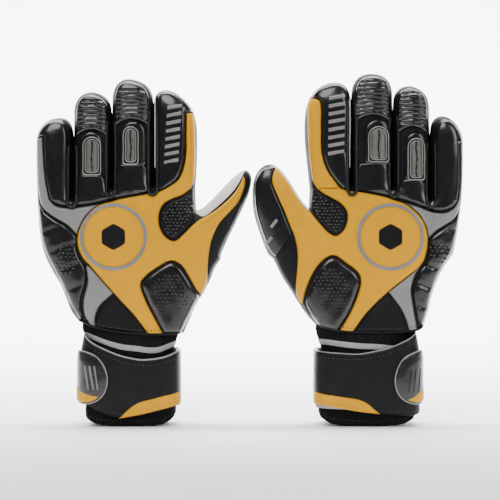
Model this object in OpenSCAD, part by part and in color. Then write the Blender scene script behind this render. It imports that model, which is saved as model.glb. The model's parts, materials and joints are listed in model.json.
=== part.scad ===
// A pair of goalkeeper gloves, standing on their cuffs with the fingers up.
// Frame: +Z up, the backs of the hands face -Y, the palms face +Y. The left glove is at -X and
// the right glove at +X, and their thumbs point at each other. The origin is on the resting
// surface, midway between the gloves. Each glove is drawn once in its own terms, where u is the
// distance outwards from the plane midway between the gloves, and is then placed by its side.

/* [Fingers] */
// Widths of the right glove's fingers: index, middle, ring, little
finger_w_right = [34, 35, 31.5, 29.5]; // [20:0.5:40]
// Widths of the left glove's fingers: index, middle, ring, little
finger_w_left = [34, 34.5, 31.5, 29]; // [20:0.5:40]
// Distance outwards of the thumb side of the index finger: left glove, right glove
index_u = [47, 46]; // [40:0.5:60]
// Heights of the fingertips of the right glove: index, middle, ring, little
tip_z_right = [282, 290, 280, 256]; // [250:1:300]
// Heights of the fingertips of the left glove: index, middle, ring, little
tip_z_left = [277, 286, 275, 253]; // [250:1:300]
// Heights of the knuckle folds: index, middle, ring, little
knuckle_z = [203, 202, 198, 193]; // [188:1:208]
// Heights of the middle-joint folds: index, middle, ring, little
middle_joint_z = [245, 252, 243, 226]; // [220:1:256]
// Depth of a finger, back to palm
finger_d = 30; // [24:0.5:34]
// Gap between neighbouring fingers
finger_gap = 1; // [0.8:0.1:3]

/* [Hand] */
// Height of the hem, where the wrist elastic is sewn to the hand
hem_z = 80; // [76:1:84]
// Depth of the hand, back to palm
hand_d = 35; // [30:1:40]
// Thickness of the padded back of the hand
back_t = 4; // [3:0.5:6]
// Thickness of the palm foam
palm_t = 5; // [3:0.5:6]
// Thickness of the stretch gussets and of the finger walls
wall = 3; // [2.5:0.5:4]
// Thickness of a sewn overlay
overlay_t = 2; // [1:0.5:3]
// Outer radius of the badge ring
badge_r = 27.5; // [22:0.5:28]

/* [Wrist] */
// Distance outwards of the middle of the wrist: left glove, right glove
wrist_u = [100.5, 95]; // [90:0.5:105]
// Width of the wrist strap: left glove, right glove
strap_w = [82, 87]; // [78:1:90]
// Depth of the wrist strap, back to palm
strap_d = 46; // [42:1:52]
// Thickness of the strap
strap_t = 4; // [3:0.5:5]
// Height of the lower edge of the strap
strap_z = 9; // [6:1:14]
// Height of the upper edge of the strap at the middle
strap_top_z = 57; // [50:1:60]
// Thickness of the closure tab
tab_t = 2.5; // [2:0.5:3]

/* [Motion] */
// Widest bend that the knuckle folds leave room for
knuckle_bend = 75; // [60:1:80]
// Widest bend that the middle-joint folds leave room for
middle_bend = 85; // [70:1:90]
// Widest bend that the thumb folds leave room for
thumb_bend = 55; // [40:1:60]
// How far the fold axes lie towards the palm from the middle plane
fold_y = 6; // [4:0.5:8]
// Clearance of each piece at a fold
fold_gap = 0.4; // [0.3:0.1:0.6]

/* [Hidden] */
SIDES = ["left", "right"];
FINGERS = ["index", "middle", "ring", "little"];
HAND_PIECES = ["backhand", "palm_foam", "hand_gussets", "star_overlay", "flank_overlay",
               "knuckle_panel", "badge_ring", "badge_emblem", "grip_pads"];
WRIST_PIECES = ["wrist_elastic", "wrist_stripe", "wrist_strap", "strap_trim", "strap_piping",
                "loop_patch", "cuff", "strap_tab", "tab_trim"];
FINGER_PIECES = [for (f = FINGERS, part = ["lower", "upper"]) str(f, "_", part)];
OTHER_PIECES = ["middle_window", "ring_window", "thumb_lower", "thumb_upper"];
PIECES = concat(HAND_PIECES, WRIST_PIECES, FINGER_PIECES, OTHER_PIECES);

finger_w = [finger_w_left, finger_w_right];
tip_z = [tip_z_left, tip_z_right];
front_y = -hand_d / 2;
palm_y = hand_d / 2;
far = 60;
slot_depth = 10;
eps = 0.02;

// Thumb folds, each a line from the outer edge to the index side: left glove, right glove
thumb_base = [[[25, 144], [47, 170]], [[13, 144], [48, 170]]];
thumb_joint = [[[9.5, 181], [29, 190]], [[2, 181], [35.5, 191]]];
thumb_end = [[[1.5, 201], [14, 205]], [[3, 203], [27, 206]]];
thumb_tip = [[[2, 208.5], [7, 210]], [[9, 213], [20, 214.5]]];

black = [0.07, 0.07, 0.08];
yellow = [0.93, 0.72, 0.06];
grey = [0.58, 0.58, 0.58];
silver = [0.75, 0.75, 0.74];
latex = [0.86, 0.85, 0.82];
weave = [0.12, 0.12, 0.13];

// Left edge and right edge of finger f of glove g
function finger_edge(g, f) = index_u[g] + (f == 0 ? 0 : finger_w[g][f - 1] + finger_edge(g, f - 1)
                             - index_u[g]);
function finger_mid(g, f) = finger_edge(g, f) + finger_w[g][f] / 2;

// Half of a finger's section, as fractions of its half width and half depth, back to palm
side_profile = [[0.55, -1], [0.88, -0.8], [1, -0.35], [1, 0.4], [0.88, 0.8], [0.55, 1]];
profile = concat(side_profile, [for (i = [5:-1:0]) [-side_profile[i][0], side_profile[i][1]]]);

// One ring of a stall across the line a-b, moved along its normal by a gap and a palm-side bevel
function ring(a, b, half_d, inset, gap, bevel) =
    let (mid = (a + b) / 2, dir = (b - a) / norm(b - a), half_w = norm(b - a) / 2 - inset)
    [for (p = profile)
        let (y = p[1] * (half_d - inset), lift = gap + bevel * max(0, y - fold_y))
        [mid[0] + dir[0] * half_w * p[0] - dir[1] * lift, y,
         mid[1] + dir[1] * half_w * p[0] + dir[0] * lift]];

// Triangles between ring i and ring j, and a fan that closes ring i
count = len(profile);
function band(i, j) = [for (k = [0:count - 1])
    let (n = (k + 1) % count)
    each [[i * count + k, i * count + n, j * count + n], [i * count + k, j * count + n, j * count + k]]];
function fan(i, up) = [for (k = [1:count - 2])
    up ? [i * count, i * count + k, i * count + k + 1] : [i * count, i * count + k + 1, i * count + k]];

// A hollow stall with both ends open: lines and half depths from bottom to top
module open_stall(lines, depths, bevels) {
    last = len(lines) - 1;
    outer = [for (i = [0:last]) each ring(lines[i][0], lines[i][1], depths[i], 0,
             i == 0 ? fold_gap : i == last ? -fold_gap : 0, bevels[i])];
    inner = [for (i = [0:last]) each ring(lines[i][0], lines[i][1], depths[i], wall,
             i == 0 ? fold_gap : i == last ? -fold_gap : 0, bevels[i])];
    polyhedron(points = concat(outer, inner),
        faces = concat([for (i = [0:last - 1]) each band(i + 1, i)],
                       [for (i = [0:last - 1]) each band(last + 1 + i, last + 2 + i)],
                       band(0, last + 1), band(2 * last + 1, last)));
}

// A hollow stall with a closed round tip: lines and half depths from bottom to top
module closed_stall(lines, depths, bevel) {
    last = len(lines) - 1;
    outer = [for (i = [0:last]) each ring(lines[i][0], lines[i][1], depths[i], 0,
             i == 0 ? fold_gap : 0, i == 0 ? bevel : 0)];
    inner = [for (i = [0:last - 1]) each ring(lines[i][0], lines[i][1], depths[i], wall,
             i == 0 ? fold_gap : i == last - 1 ? -wall / 2 : 0, i == 0 ? bevel : 0)];
    polyhedron(points = concat(outer, inner),
        faces = concat([for (i = [0:last - 1]) each band(i + 1, i)],
                       fan(last, false),
                       [for (i = [0:last - 2]) each band(last + 1 + i, last + 2 + i)],
                       fan(2 * last, true),
                       band(0, last + 1)));
}

// A level line across finger f of glove g, drawn in by a margin on both sides
function level(g, f, z, margin = 0) =
    [[finger_edge(g, f) + finger_gap / 2 + margin, z],
     [finger_edge(g, f) + finger_w[g][f] - finger_gap / 2 - margin, z]];

function bevel_of(bend) = tan(bend / 2 + 1.5);

module finger_lower(g, f) {
    color(black)
    open_stall([level(g, f, knuckle_z[f]), level(g, f, middle_joint_z[f])],
               [finger_d / 2, finger_d / 2], [bevel_of(knuckle_bend), -bevel_of(middle_bend)]);
}

// The heights near the tip are where the stall starts to round off
module finger_upper(g, f) {
    round_z = tip_z[g][f] - 12;
    color(black)
    closed_stall([level(g, f, middle_joint_z[f]), level(g, f, round_z), level(g, f, tip_z[g][f] - 4, 4),
                  level(g, f, tip_z[g][f], 10)],
                 [finger_d / 2, finger_d / 2, finger_d / 2 - 3, finger_d / 2 - 9],
                 bevel_of(middle_bend));
}

module thumb_lower(g) {
    color(black)
    open_stall([thumb_base[g], thumb_joint[g]], [finger_d / 2 + 1, finger_d / 2],
               [bevel_of(thumb_bend), -bevel_of(thumb_bend)]);
}

module thumb_upper(g) {
    color(black)
    closed_stall([thumb_joint[g], thumb_end[g], thumb_tip[g]],
                 [finger_d / 2, finger_d / 2 - 1.5, finger_d / 2 - 8], bevel_of(thumb_bend));
}

// Everything that lies beyond a fold: it reaches up from the fold line, and slopes down
// on the palm side so that the stall can bend towards the palm
module beyond_fold(length, bend) {
    rotate([90, 0, 90])
    linear_extrude(length)
    polygon([[-far, -fold_gap], [fold_y, -fold_gap],
             [fold_y + far / 2, -fold_gap - far / 2 * bevel_of(bend)], [far, far], [-far, far]]);
}

// What the folds and the slots between the fingers take away from the hand
module hand_cutters(g) {
    for (f = [0:3]) {
        translate([finger_edge(g, f) - (f == 0 ? 2 : eps), 0, knuckle_z[f]])
        beyond_fold(finger_w[g][f] + (f == 3 ? far : (f == 0 ? 2 : 0) + eps), knuckle_bend);
        if (f > 0)
            translate([finger_edge(g, f) - finger_gap / 2, -far, knuckle_z[f] - slot_depth])
            cube([finger_gap, 2 * far, far]);
    }
    base = thumb_base[g];
    tilt = atan2(base[1][1] - base[0][1], base[1][0] - base[0][0]);
    translate([base[1][0], 0, base[1][1]])
    rotate([0, -tilt, 0])
    translate([-far, 0, 0])
    beyond_fold(far, thumb_bend);
}

// Outline of the hand below the fingers, from the hem round the thumb side
function hand_outline(g) = let (base = thumb_base[g])
    [[wrist_u[g] - 42, hem_z], [wrist_u[g] - 44, hem_z + 6], [wrist_u[g] - 53, hem_z + 20],
     [base[0][0] + 9, 124], [base[0][0] + 3, 136], base[0] + [0, 1], base[1] + [0, 1],
     [finger_edge(g, 0) + 0.5, 180], [finger_edge(g, 0) + 0.5, 206],
     [finger_edge(g, 3) + finger_w[g][3] - 0.5, 206], [finger_edge(g, 3) + finger_w[g][3] - 0.5, 170],
     [168, 148], [157, 130], [148, 108], [145.5, 94], [143, hem_z]];

// A plate with the given outline, from depth y0 to depth y1
module plate(points, y0, y1) {
    translate([0, y1, 0])
    rotate([90, 0, 0])
    linear_extrude(y1 - y0)
    polygon(points);
}

module backhand(g) {
    color(black)
    difference() {
        plate(hand_outline(g), front_y, front_y + back_t);
        hand_cutters(g);
    }
}

module palm_foam(g) {
    color(latex)
    difference() {
        plate(hand_outline(g), palm_y - palm_t, palm_y);
        hand_cutters(g);
    }
}

// A wall along the run of points, to the inside of it
module wall_run(points, y0, y1) {
    back = [for (i = [len(points) - 1:-1:0])
        let (a = points[max(i - 1, 0)], b = points[min(i + 1, len(points) - 1)],
             dir = (b - a) / norm(b - a))
        points[i] + wall * [dir[1], -dir[0]]];
    plate(concat(points, back), y0, y1);
}

// Stretch gussets: the thumb edge, the outer edge, the index side and the finger forks
module hand_gussets(g) {
    points = hand_outline(g);
    y0 = front_y + back_t;
    y1 = palm_y - palm_t;
    color(weave)
    difference() {
        union() {
            wall_run([for (i = [0:5]) points[i]], y0, y1);
            wall_run([for (i = [6:8]) points[i]], y0, y1);
            wall_run([for (i = [9:15]) points[i]], y0, y1);
            for (f = [1:3])
                translate([finger_edge(g, f) - wall, y0, knuckle_z[f] - slot_depth - wall])
                cube([2 * wall, y1 - y0, slot_depth + wall + 6]);
        }
        hand_cutters(g);
    }
}

// A raised overlay on the back of the hand
module overlay(points, g, t, base_y = front_y) {
    difference() {
        plate(points, base_y - t, base_y);
        hand_cutters(g);
    }
}

badge = [113.5, 155];

// Four-armed overlay: one arm up the index finger, one into the thumb, one leg to the hem
module star_overlay(g) {
    base = thumb_base[g];
    side = [for (a = [60:-20:-40]) badge + (badge_r + 2) * [cos(a), sin(a)]];
    color(yellow)
    overlay(concat([[finger_edge(g, 0) + 1, 206], [finger_edge(g, 0) + 2, 199], [58, 189.5], [68, 186],
                    [75.5, 180], [77.5, 171], [75.5, 161], [70, 155.5], [63.5, 155]],
                   [base[1] + [0, 1], base[0] + [14, 10], base[0] + [14, -4]],
                   [[39, 128], [39, 112], [42, 106], [51, 123], [61, 137], [66, 138.5], [74, 136],
                    [89.5, 123], [91, 117], [88, 106], [81, 92], [74.5, hem_z], [84, hem_z],
                    [96, 93], [110, 106.5], [133, 128]],
                   [for (i = [5:-1:0]) side[i]],
                   [[123, 184.2], [110, 186.8], [88, 190.8], [71, 196], [62, 201], [58, 206]]),
            g, overlay_t);
}

// Overlay on the outer side: an arm up the little finger and a leg to the hem
module flank_overlay(g) {
    edge = finger_edge(g, 3) + finger_w[g][3];
    color(grey) {
        overlay([[edge - 6, 206], [edge - 7, 187], [edge - 12, 180], [160, 176], [146, 177.5],
                 [136, 179.5], [141.5, 171], [145, 160], [153, 165.5], [163, 170], [edge - 2, 178],
                 [edge - 1.5, 206]], g, overlay_t);
        overlay([[134.5, 126], [134, 118], [136, 101], [135.5, 90], [132, hem_z], [129, hem_z],
                 [125.5, 95], [115, 107]], g, overlay_t);
    }
}

// Glossy padded panel across the knuckles
module knuckle_panel(g) {
    color(black)
    overlay([[64, 206], [64, 201.5], [72, 197.5], [88, 192.5], [110, 188.5], [124, 185.8],
             [134, 182], [147, 179.5], [158, 178.5], [164, 182], [167, 190], [167, 206]],
            g, overlay_t + 0.5);
}

module badge_ring(g) {
    color(grey)
    translate([badge[0], front_y - overlay_t, badge[1]])
    rotate([90, 0, 0])
    difference() {
        cylinder(h = 1.5, r = badge_r, $fn = 64);
        translate([0, 0, -1])
        cylinder(h = 4, r = badge_r - 2.5, $fn = 64);
    }
}

// Plain six-sided ball panel in the middle of the badge
module badge_emblem(g) {
    color(black)
    translate([badge[0], front_y - overlay_t, badge[1]])
    rotate([90, 30, 0])
    linear_extrude(1)
    circle(r = 11, $fn = 6);
}

// Three padded grip areas: the outer side, the web of the thumb, and the thumb base
module grip_pads(g) {
    edge = finger_edge(g, 3) + finger_w[g][3];
    color(black) {
        overlay([[146.5, 156], [154, 163], [164, 168], [edge - 4, 175], [edge - 4, 168], [165, 149],
                 [154.5, 131], [145.5, 109], [142, 94], [138, 86], [138, 101], [136.5, 118],
                 [137, 127], [145, 141]], g, overlay_t + 1);
        overlay([[64, 157.5], [69, 158], [73.5, 162], [75.3, 171], [73.5, 178.5], [67, 183.5],
                 [57.5, 187], [50, 194], [50, 177]], g, overlay_t + 1);
        overlay([[46, 107], [53, 122], [62, 134.5], [66, 136], [73, 133.5], [87.5, 121.5],
                 [89, 117], [86, 107], [79, 92], [73, hem_z + 1], [60, hem_z + 1]], g, overlay_t + 1);
    }
}

// The strap sits this far towards the palm, so that its tab stands level with the overlays
tab_gap = 1.3;
tab_trim_t = 0.8;
wrist_y = (tab_gap + tab_t + tab_trim_t) / 2;
strap_front_y = wrist_y - strap_d / 2;

// Rounded rectangle round the wrist, with its corners as runs of short flats
function wrist_outline(g, grow) = let (w = strap_w[g] + 2 * grow, d = strap_d + 2 * grow, r = 14 + grow)
    [for (c = [[1, 1, 0], [-1, 1, 90], [-1, -1, 180], [1, -1, 270]], a = [0:22.5:90])
        [wrist_u[g] + c[0] * (w / 2 - r) + r * cos(a + c[2]),
         wrist_y + c[1] * (d / 2 - r) + r * sin(a + c[2])]];

// A sleeve round the wrist between two offsets from the outside of the strap
module sleeve(g, out, inward, z0, z1) {
    translate([0, 0, z0])
    linear_extrude(z1 - z0)
    difference() {
        polygon(wrist_outline(g, out));
        polygon(wrist_outline(g, inward));
    }
}

module wrist_elastic(g) {
    color(weave)
    sleeve(g, -strap_t, -strap_t - wall, strap_top_z - 9, hem_z);
}

module wrist_stripe(g) {
    color(grey)
    sleeve(g, -strap_t + 1, -strap_t, strap_top_z + 8, strap_top_z + 12);
}

module wrist_strap(g) {
    color(black)
    sleeve(g, 0, -strap_t, strap_z, strap_top_z);
}

module strap_piping(g) {
    color(silver)
    sleeve(g, -1, -strap_t, strap_top_z, strap_top_z + 2);
}

// Wedge of trim along the lower edge of the strap, on the thumb side
module strap_trim(g) {
    u = wrist_u[g];
    color(yellow)
    plate([[u + 6, strap_z + 1], [u - 2, strap_z + 8], [u - 14, strap_z + 14], [u - 27, strap_z + 18],
           [u - 27, strap_z + 7], [u - 12, strap_z + 3]], strap_front_y - 1, strap_front_y);
}

// Patch of loop fabric that the tab fastens to
module loop_patch(g) {
    u = wrist_u[g];
    color(weave)
    plate([[u + 19, strap_z + 13], [u + 27, strap_z + 13], [u + 27, strap_top_z - 5],
           [u + 19, strap_top_z - 5]], strap_front_y - 1, strap_front_y);
}

module cuff(g) {
    color(black)
    sleeve(g, -strap_t, -strap_t - wall, 0, strap_top_z - 9);
}

// Closure tab: it wraps the outer corner of the strap, and its round end lies on the back
tab_root_y = wrist_y - 4;
module strap_tab(g) {
    u = wrist_u[g];
    color(black)
    intersection() {
        sleeve(g, tab_gap + tab_t, tab_gap, strap_z + 9, strap_top_z + 1);
        plate([[u + far, strap_z], [u + 27, strap_z + 9], [u + 19, strap_z + 12], [u + 16, strap_z + 20],
               [u + 16, strap_top_z - 12], [u + 19, strap_top_z - 3], [u + 27, strap_top_z + 1],
               [u + far, far]], -far, tab_root_y);
    }
}

// Trim on the tab: three ribs near its end and a corner patch below them
module tab_trim(g) {
    u = wrist_u[g];
    y = strap_front_y - tab_gap - tab_t;
    color(silver)
    for (i = [0:2])
        plate([[u + 18 + 3.2 * i, strap_z + 22], [u + 20 + 3.2 * i, strap_z + 22],
               [u + 20 + 3.2 * i, strap_top_z - 12], [u + 18 + 3.2 * i, strap_top_z - 12]],
              y - tab_trim_t, y);
    color(yellow)
    plate([[u + 20, strap_z + 13], [u + 27, strap_z + 10], [u + 27, strap_z + 18]],
          y - tab_trim_t, y);
}

// Satin insert in its frame, on the back of a finger below the middle joint
module window(g, f) {
    u = finger_mid(g, f);
    z = middle_joint_z[f] - 3;
    arch = [for (a = [0:30:180]) [u + 6 * cos(a), z - 8 + 6 * sin(a)]];
    color(silver)
    plate(concat(arch, [[u - 6, z - 31], [u + 6, z - 31]]), -finger_d / 2 - 1.5, -finger_d / 2);
}

// Each glove is built in u, and the left one is mirrored into place
module piece(name, g) {
    if (name == "backhand") backhand(g);
    if (name == "palm_foam") palm_foam(g);
    if (name == "hand_gussets") hand_gussets(g);
    if (name == "star_overlay") star_overlay(g);
    if (name == "flank_overlay") flank_overlay(g);
    if (name == "knuckle_panel") knuckle_panel(g);
    if (name == "badge_ring") badge_ring(g);
    if (name == "badge_emblem") badge_emblem(g);
    if (name == "grip_pads") grip_pads(g);
    if (name == "wrist_elastic") wrist_elastic(g);
    if (name == "wrist_stripe") wrist_stripe(g);
    if (name == "wrist_strap") wrist_strap(g);
    if (name == "strap_trim") strap_trim(g);
    if (name == "strap_piping") strap_piping(g);
    if (name == "loop_patch") loop_patch(g);
    if (name == "cuff") cuff(g);
    if (name == "strap_tab") strap_tab(g);
    if (name == "tab_trim") tab_trim(g);
    if (name == "middle_window") window(g, 1);
    if (name == "ring_window") window(g, 2);
    if (name == "thumb_lower") thumb_lower(g);
    if (name == "thumb_upper") thumb_upper(g);
    for (f = [0:3]) {
        if (name == str(FINGERS[f], "_lower")) finger_lower(g, f);
        if (name == str(FINGERS[f], "_upper")) finger_upper(g, f);
    }
}

module placed(name, g) {
    mirror([g == 0 ? 1 : 0, 0, 0])
    piece(name, g);
}

placed("backhand", 0);  // left_backhand
placed("palm_foam", 0);  // left_palm_foam
placed("hand_gussets", 0);  // left_hand_gussets
placed("star_overlay", 0);  // left_star_overlay
placed("flank_overlay", 0);  // left_flank_overlay
placed("knuckle_panel", 0);  // left_knuckle_panel
placed("badge_ring", 0);  // left_badge_ring
placed("badge_emblem", 0);  // left_badge_emblem
placed("grip_pads", 0);  // left_grip_pads
placed("wrist_elastic", 0);  // left_wrist_elastic
placed("wrist_stripe", 0);  // left_wrist_stripe
placed("wrist_strap", 0);  // left_wrist_strap
placed("strap_trim", 0);  // left_strap_trim
placed("strap_piping", 0);  // left_strap_piping
placed("loop_patch", 0);  // left_loop_patch
placed("cuff", 0);  // left_cuff
placed("strap_tab", 0);  // left_strap_tab
placed("tab_trim", 0);  // left_tab_trim
placed("index_lower", 0);  // left_index_lower
placed("index_upper", 0);  // left_index_upper
placed("middle_lower", 0);  // left_middle_lower
placed("middle_upper", 0);  // left_middle_upper
placed("ring_lower", 0);  // left_ring_lower
placed("ring_upper", 0);  // left_ring_upper
placed("little_lower", 0);  // left_little_lower
placed("little_upper", 0);  // left_little_upper
placed("middle_window", 0);  // left_middle_window
placed("ring_window", 0);  // left_ring_window
placed("thumb_lower", 0);  // left_thumb_lower
placed("thumb_upper", 0);  // left_thumb_upper
placed("backhand", 1);  // right_backhand
placed("palm_foam", 1);  // right_palm_foam
placed("hand_gussets", 1);  // right_hand_gussets
placed("star_overlay", 1);  // right_star_overlay
placed("flank_overlay", 1);  // right_flank_overlay
placed("knuckle_panel", 1);  // right_knuckle_panel
placed("badge_ring", 1);  // right_badge_ring
placed("badge_emblem", 1);  // right_badge_emblem
placed("grip_pads", 1);  // right_grip_pads
placed("wrist_elastic", 1);  // right_wrist_elastic
placed("wrist_stripe", 1);  // right_wrist_stripe
placed("wrist_strap", 1);  // right_wrist_strap
placed("strap_trim", 1);  // right_strap_trim
placed("strap_piping", 1);  // right_strap_piping
placed("loop_patch", 1);  // right_loop_patch
placed("cuff", 1);  // right_cuff
placed("strap_tab", 1);  // right_strap_tab
placed("tab_trim", 1);  // right_tab_trim
placed("index_lower", 1);  // right_index_lower
placed("index_upper", 1);  // right_index_upper
placed("middle_lower", 1);  // right_middle_lower
placed("middle_upper", 1);  // right_middle_upper
placed("ring_lower", 1);  // right_ring_lower
placed("ring_upper", 1);  // right_ring_upper
placed("little_lower", 1);  // right_little_lower
placed("little_upper", 1);  // right_little_upper
placed("middle_window", 1);  // right_middle_window
placed("ring_window", 1);  // right_ring_window
placed("thumb_lower", 1);  // right_thumb_lower
placed("thumb_upper", 1);  // right_thumb_upper
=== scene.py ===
"""The looks of a pair of goalkeeper gloves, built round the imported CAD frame.

Each glove is drawn in its own terms, in millimetres: u is the distance outwards from the plane
midway between the gloves and z is the height. side_point() turns that into the shared frame.
"""
import json
import math

import bmesh
import bpy
import numpy as np
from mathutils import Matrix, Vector
from mathutils.geometry import delaunay_2d_cdt


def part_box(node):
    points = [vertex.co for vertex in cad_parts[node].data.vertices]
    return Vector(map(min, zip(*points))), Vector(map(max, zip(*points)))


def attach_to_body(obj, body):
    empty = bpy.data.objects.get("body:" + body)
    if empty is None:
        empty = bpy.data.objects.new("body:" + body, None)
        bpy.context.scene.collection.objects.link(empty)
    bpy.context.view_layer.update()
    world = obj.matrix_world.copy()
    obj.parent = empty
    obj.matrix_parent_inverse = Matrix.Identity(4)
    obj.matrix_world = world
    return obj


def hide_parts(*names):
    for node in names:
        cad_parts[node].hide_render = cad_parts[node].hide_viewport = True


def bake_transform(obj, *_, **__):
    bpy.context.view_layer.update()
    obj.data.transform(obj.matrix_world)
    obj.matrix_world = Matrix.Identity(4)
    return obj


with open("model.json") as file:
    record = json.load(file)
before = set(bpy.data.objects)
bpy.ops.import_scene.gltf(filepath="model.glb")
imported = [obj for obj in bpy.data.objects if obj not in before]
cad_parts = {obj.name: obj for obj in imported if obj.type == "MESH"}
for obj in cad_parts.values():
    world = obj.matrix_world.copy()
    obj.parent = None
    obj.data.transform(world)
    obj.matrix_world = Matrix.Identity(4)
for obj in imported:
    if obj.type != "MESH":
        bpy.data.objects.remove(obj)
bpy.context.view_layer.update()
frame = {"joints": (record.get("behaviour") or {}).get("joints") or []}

SIDES = ("left", "right")
FINGERS = ("index", "middle", "ring", "little")
MM = 0.001
RIM_FRONT = 3.0        # where the back shell ends, in front of the middle plane
RIM_PALM = 2.5         # where the palm shell ends, behind the middle plane
HALF_GAP = 0.4         # half of the slot between two fingers
FOLD_REACH = 11.0      # how far a finger's bend would be spread, either side of the joint; nothing here bends the finger
SIDE_TOP = 225.0       # where the straight sides of the fingers end
WRIST_FOOT = 48.0      # where the padded body ends, inside the strap


# ---------------------------------------------------------------- driving places from the frame
def joint(name):
    """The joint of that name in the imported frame."""
    return next(j for j in frame["joints"] if j["name"] == name)


def joint_z(name):
    """Height of a joint in millimetres."""
    return joint(name)["pos_m"][2] / MM


KNUCKLE_Z = [joint_z(f"left_{f}_knuckle") for f in FINGERS]
BEND_Z = [joint_z(f"left_{f}_bend") for f in FINGERS]
CUT_LOW = [195.0, 193.5, 190.0, 185.5]      # where a finger's pieces leave the hand's pieces
CUT_MID = [224.0, 229.0, 222.0, 209.0]      # where its lower pieces meet its upper pieces
CROTCH = [197.0, 195.0, 187.0]              # bottoms of the three slots between the fingers


# ---------------------------------------------------------------- outlines
# The points were typed by hand, from crops of the photo and a scratch list of its edges. Some of them, such
# as on the left glove's outer side and thumb side, are readings of its edges.
# A third value of 1 marks a sharp corner; a stretch between two corners is straight.
# SPLITS are the middles of the three slots between the fingers.
SPLITS = ([81.5, 116.0, 147.7], [82.0, 116.6, 147.2])
INDEX_SIDE = ([(47.5, 195), (46.3, 212), (46, 235), (46.8, 250)],
              [(48.2, 195), (46.5, 212), (44.2, 235), (44.2, 252)])
TIPS = (
    [[(50.5, 262), (57.5, 270), (66, 275.5), (73, 276.5), (78.5, 273.5), (80.9, 267)],
     [(82.1, 266), (84, 275), (89, 281.5), (97, 285), (105, 285.5), (111.5, 281.5), (115, 273),
      (115.4, 264)],
     [(116.6, 258), (118.3, 266), (123, 271.5), (130, 274.5), (137, 274.2), (143.5, 270),
      (146.7, 262), (147.1, 252)],
     [(148.3, 238), (149.8, 247), (153.5, 252), (160, 253.5), (168, 251.5), (174, 246.5),
      (177.6, 239)]],
    [[(46.5, 266), (53, 276.5), (62, 281.8), (71, 282.8), (78, 279), (81.3, 270)],
     [(82.6, 270), (84.8, 282), (90, 288), (98, 290), (106, 289), (112.5, 284.5), (115.6, 277),
      (116, 266)],
     [(117.2, 262), (118.8, 273), (123, 278), (130, 280), (138, 277.5), (143.8, 272.5),
      (146.3, 265), (146.6, 255)],
     [(147.8, 240), (149.8, 250), (154, 254.3), (160, 254.8), (166.5, 251), (171.5, 244.5),
      (174.2, 237)]])
OUTER_SIDE = ([(178.3, 228), (178, 205), (177.4, 190), (176.6, 172), (174.8, 154), (171.6, 141),
               (165.5, 128), (158, 115), (153.5, 104), (149.5, 94), (144.5, 87)],
              [(174.6, 226), (174.4, 205), (173.4, 188), (171.4, 170), (169.2, 155), (166.3, 142),
               (159, 131), (152.3, 117), (148, 104), (145.8, 94), (142.5, 84)])
HEM = ([(144.5, 87, 1), (138, 84.5), (128, 80.5), (108, 76.5), (86, 75), (66, 75), (57, 76, 1)],
       [(142.5, 84, 1), (139, 79.5), (124, 77), (100, 76.5), (78, 77), (62, 79.5), (53, 83, 1)])
THUMB_SIDE = ([(57, 76), (51.5, 88.6), (45.5, 101.7), (40, 110), (35.5, 119), (31, 130)],
              [(53, 83), (46.5, 90), (39.5, 100), (32, 112), (25.5, 122)])
# The thumb from the start of its fold to the fork with the index finger
THUMB_ROOT = ([26.4, 137], [17.8, 137.6])
THUMB_FORK = ([46.8, 176.5], [47.6, 177.5])
THUMB_OUTER = ([(26, 141), (20.5, 153.5), (14, 167), (7.8, 180), (3.2, 191), (1.1, 200)],
               [(13.9, 141), (9.2, 152), (5, 164), (2, 175), (0.9, 185), (1, 195)])
THUMB_TIP = ([(1.3, 206), (4.2, 209.8), (8.5, 209.3), (14, 205.3)],
             [(3, 205), (7.3, 211.8), (13.5, 215), (20, 213.5), (26, 207.8)])
THUMB_INNER = ([(20.5, 199), (27, 192), (34, 184.8), (40.5, 179)],
               [(31.5, 200), (37, 191), (42.5, 183)])
# The thumb's upper fold, as the frame's joint has it, and the cut between its lower and upper pieces
THUMB_JOINT = ([(9.5, 181), (29, 190)], [(2, 181), (35.5, 191)])
THUMB_MID = ([(17.3, 162.5), (35, 182.5)], [(7.5, 162.5), (38.5, 183)])
BASE_REACH = (13.0, 10.5)     # how far the bend at the thumb's root would be spread; nothing here bends the thumb
JOINT_ZONE = 7.0              # how far the bend at the thumb's upper fold would be spread; nothing here bends the thumb
FAR = 99.0                    # a distance, in millimetres, that no edge is away


def unit(v):
    """The vector at length 1."""
    v = np.asarray(v, float)
    return v / np.linalg.norm(v)


def across(v):
    """Unit direction to the left of a direction in the plane."""
    d = unit(v)
    return np.array([-d[1], d[0]])


def fold_frame(line):
    """Middle of a fold line, and the direction across it towards the fingertip."""
    a, b = np.array(line, float)
    return (a + b) / 2, across(b - a)


# ---------------------------------------------------------------- curves in the plane
def catmull(points, step):
    """Centripetal Catmull-Rom curve through points, with its samples about step apart."""
    p = np.asarray(points, float)
    if len(p) == 2:
        n = max(1, int(round(np.linalg.norm(p[1] - p[0]) / step)))
        return np.array([p[0] + (p[1] - p[0]) * i / n for i in range(n + 1)])
    p = np.vstack([2 * p[0] - p[1], p, 2 * p[-1] - p[-2]])
    out = []
    for i in range(1, len(p) - 2):
        p0, p1, p2, p3 = p[i - 1], p[i], p[i + 1], p[i + 2]
        t1 = np.linalg.norm(p1 - p0) ** 0.5
        t2 = t1 + max(np.linalg.norm(p2 - p1), 1e-6) ** 0.5
        t3 = t2 + max(np.linalg.norm(p3 - p2), 1e-6) ** 0.5
        n = max(1, int(round(np.linalg.norm(p2 - p1) / step)))
        for k in range(n):
            t = t1 + (t2 - t1) * k / n
            a1 = (t1 - t) / t1 * p0 + t / t1 * p1
            a2 = (t2 - t) / (t2 - t1) * p1 + (t - t1) / (t2 - t1) * p2
            a3 = (t3 - t) / (t3 - t2) * p2 + (t - t2) / (t3 - t2) * p3
            b1 = (t2 - t) / t2 * a1 + t / t2 * a2
            b2 = (t3 - t) / (t3 - t1) * a2 + (t - t1) / (t3 - t1) * a3
            out.append((t2 - t) / (t2 - t1) * b1 + (t - t1) / (t2 - t1) * b2)
    out.append(p[-2])
    return np.array(out)


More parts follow.
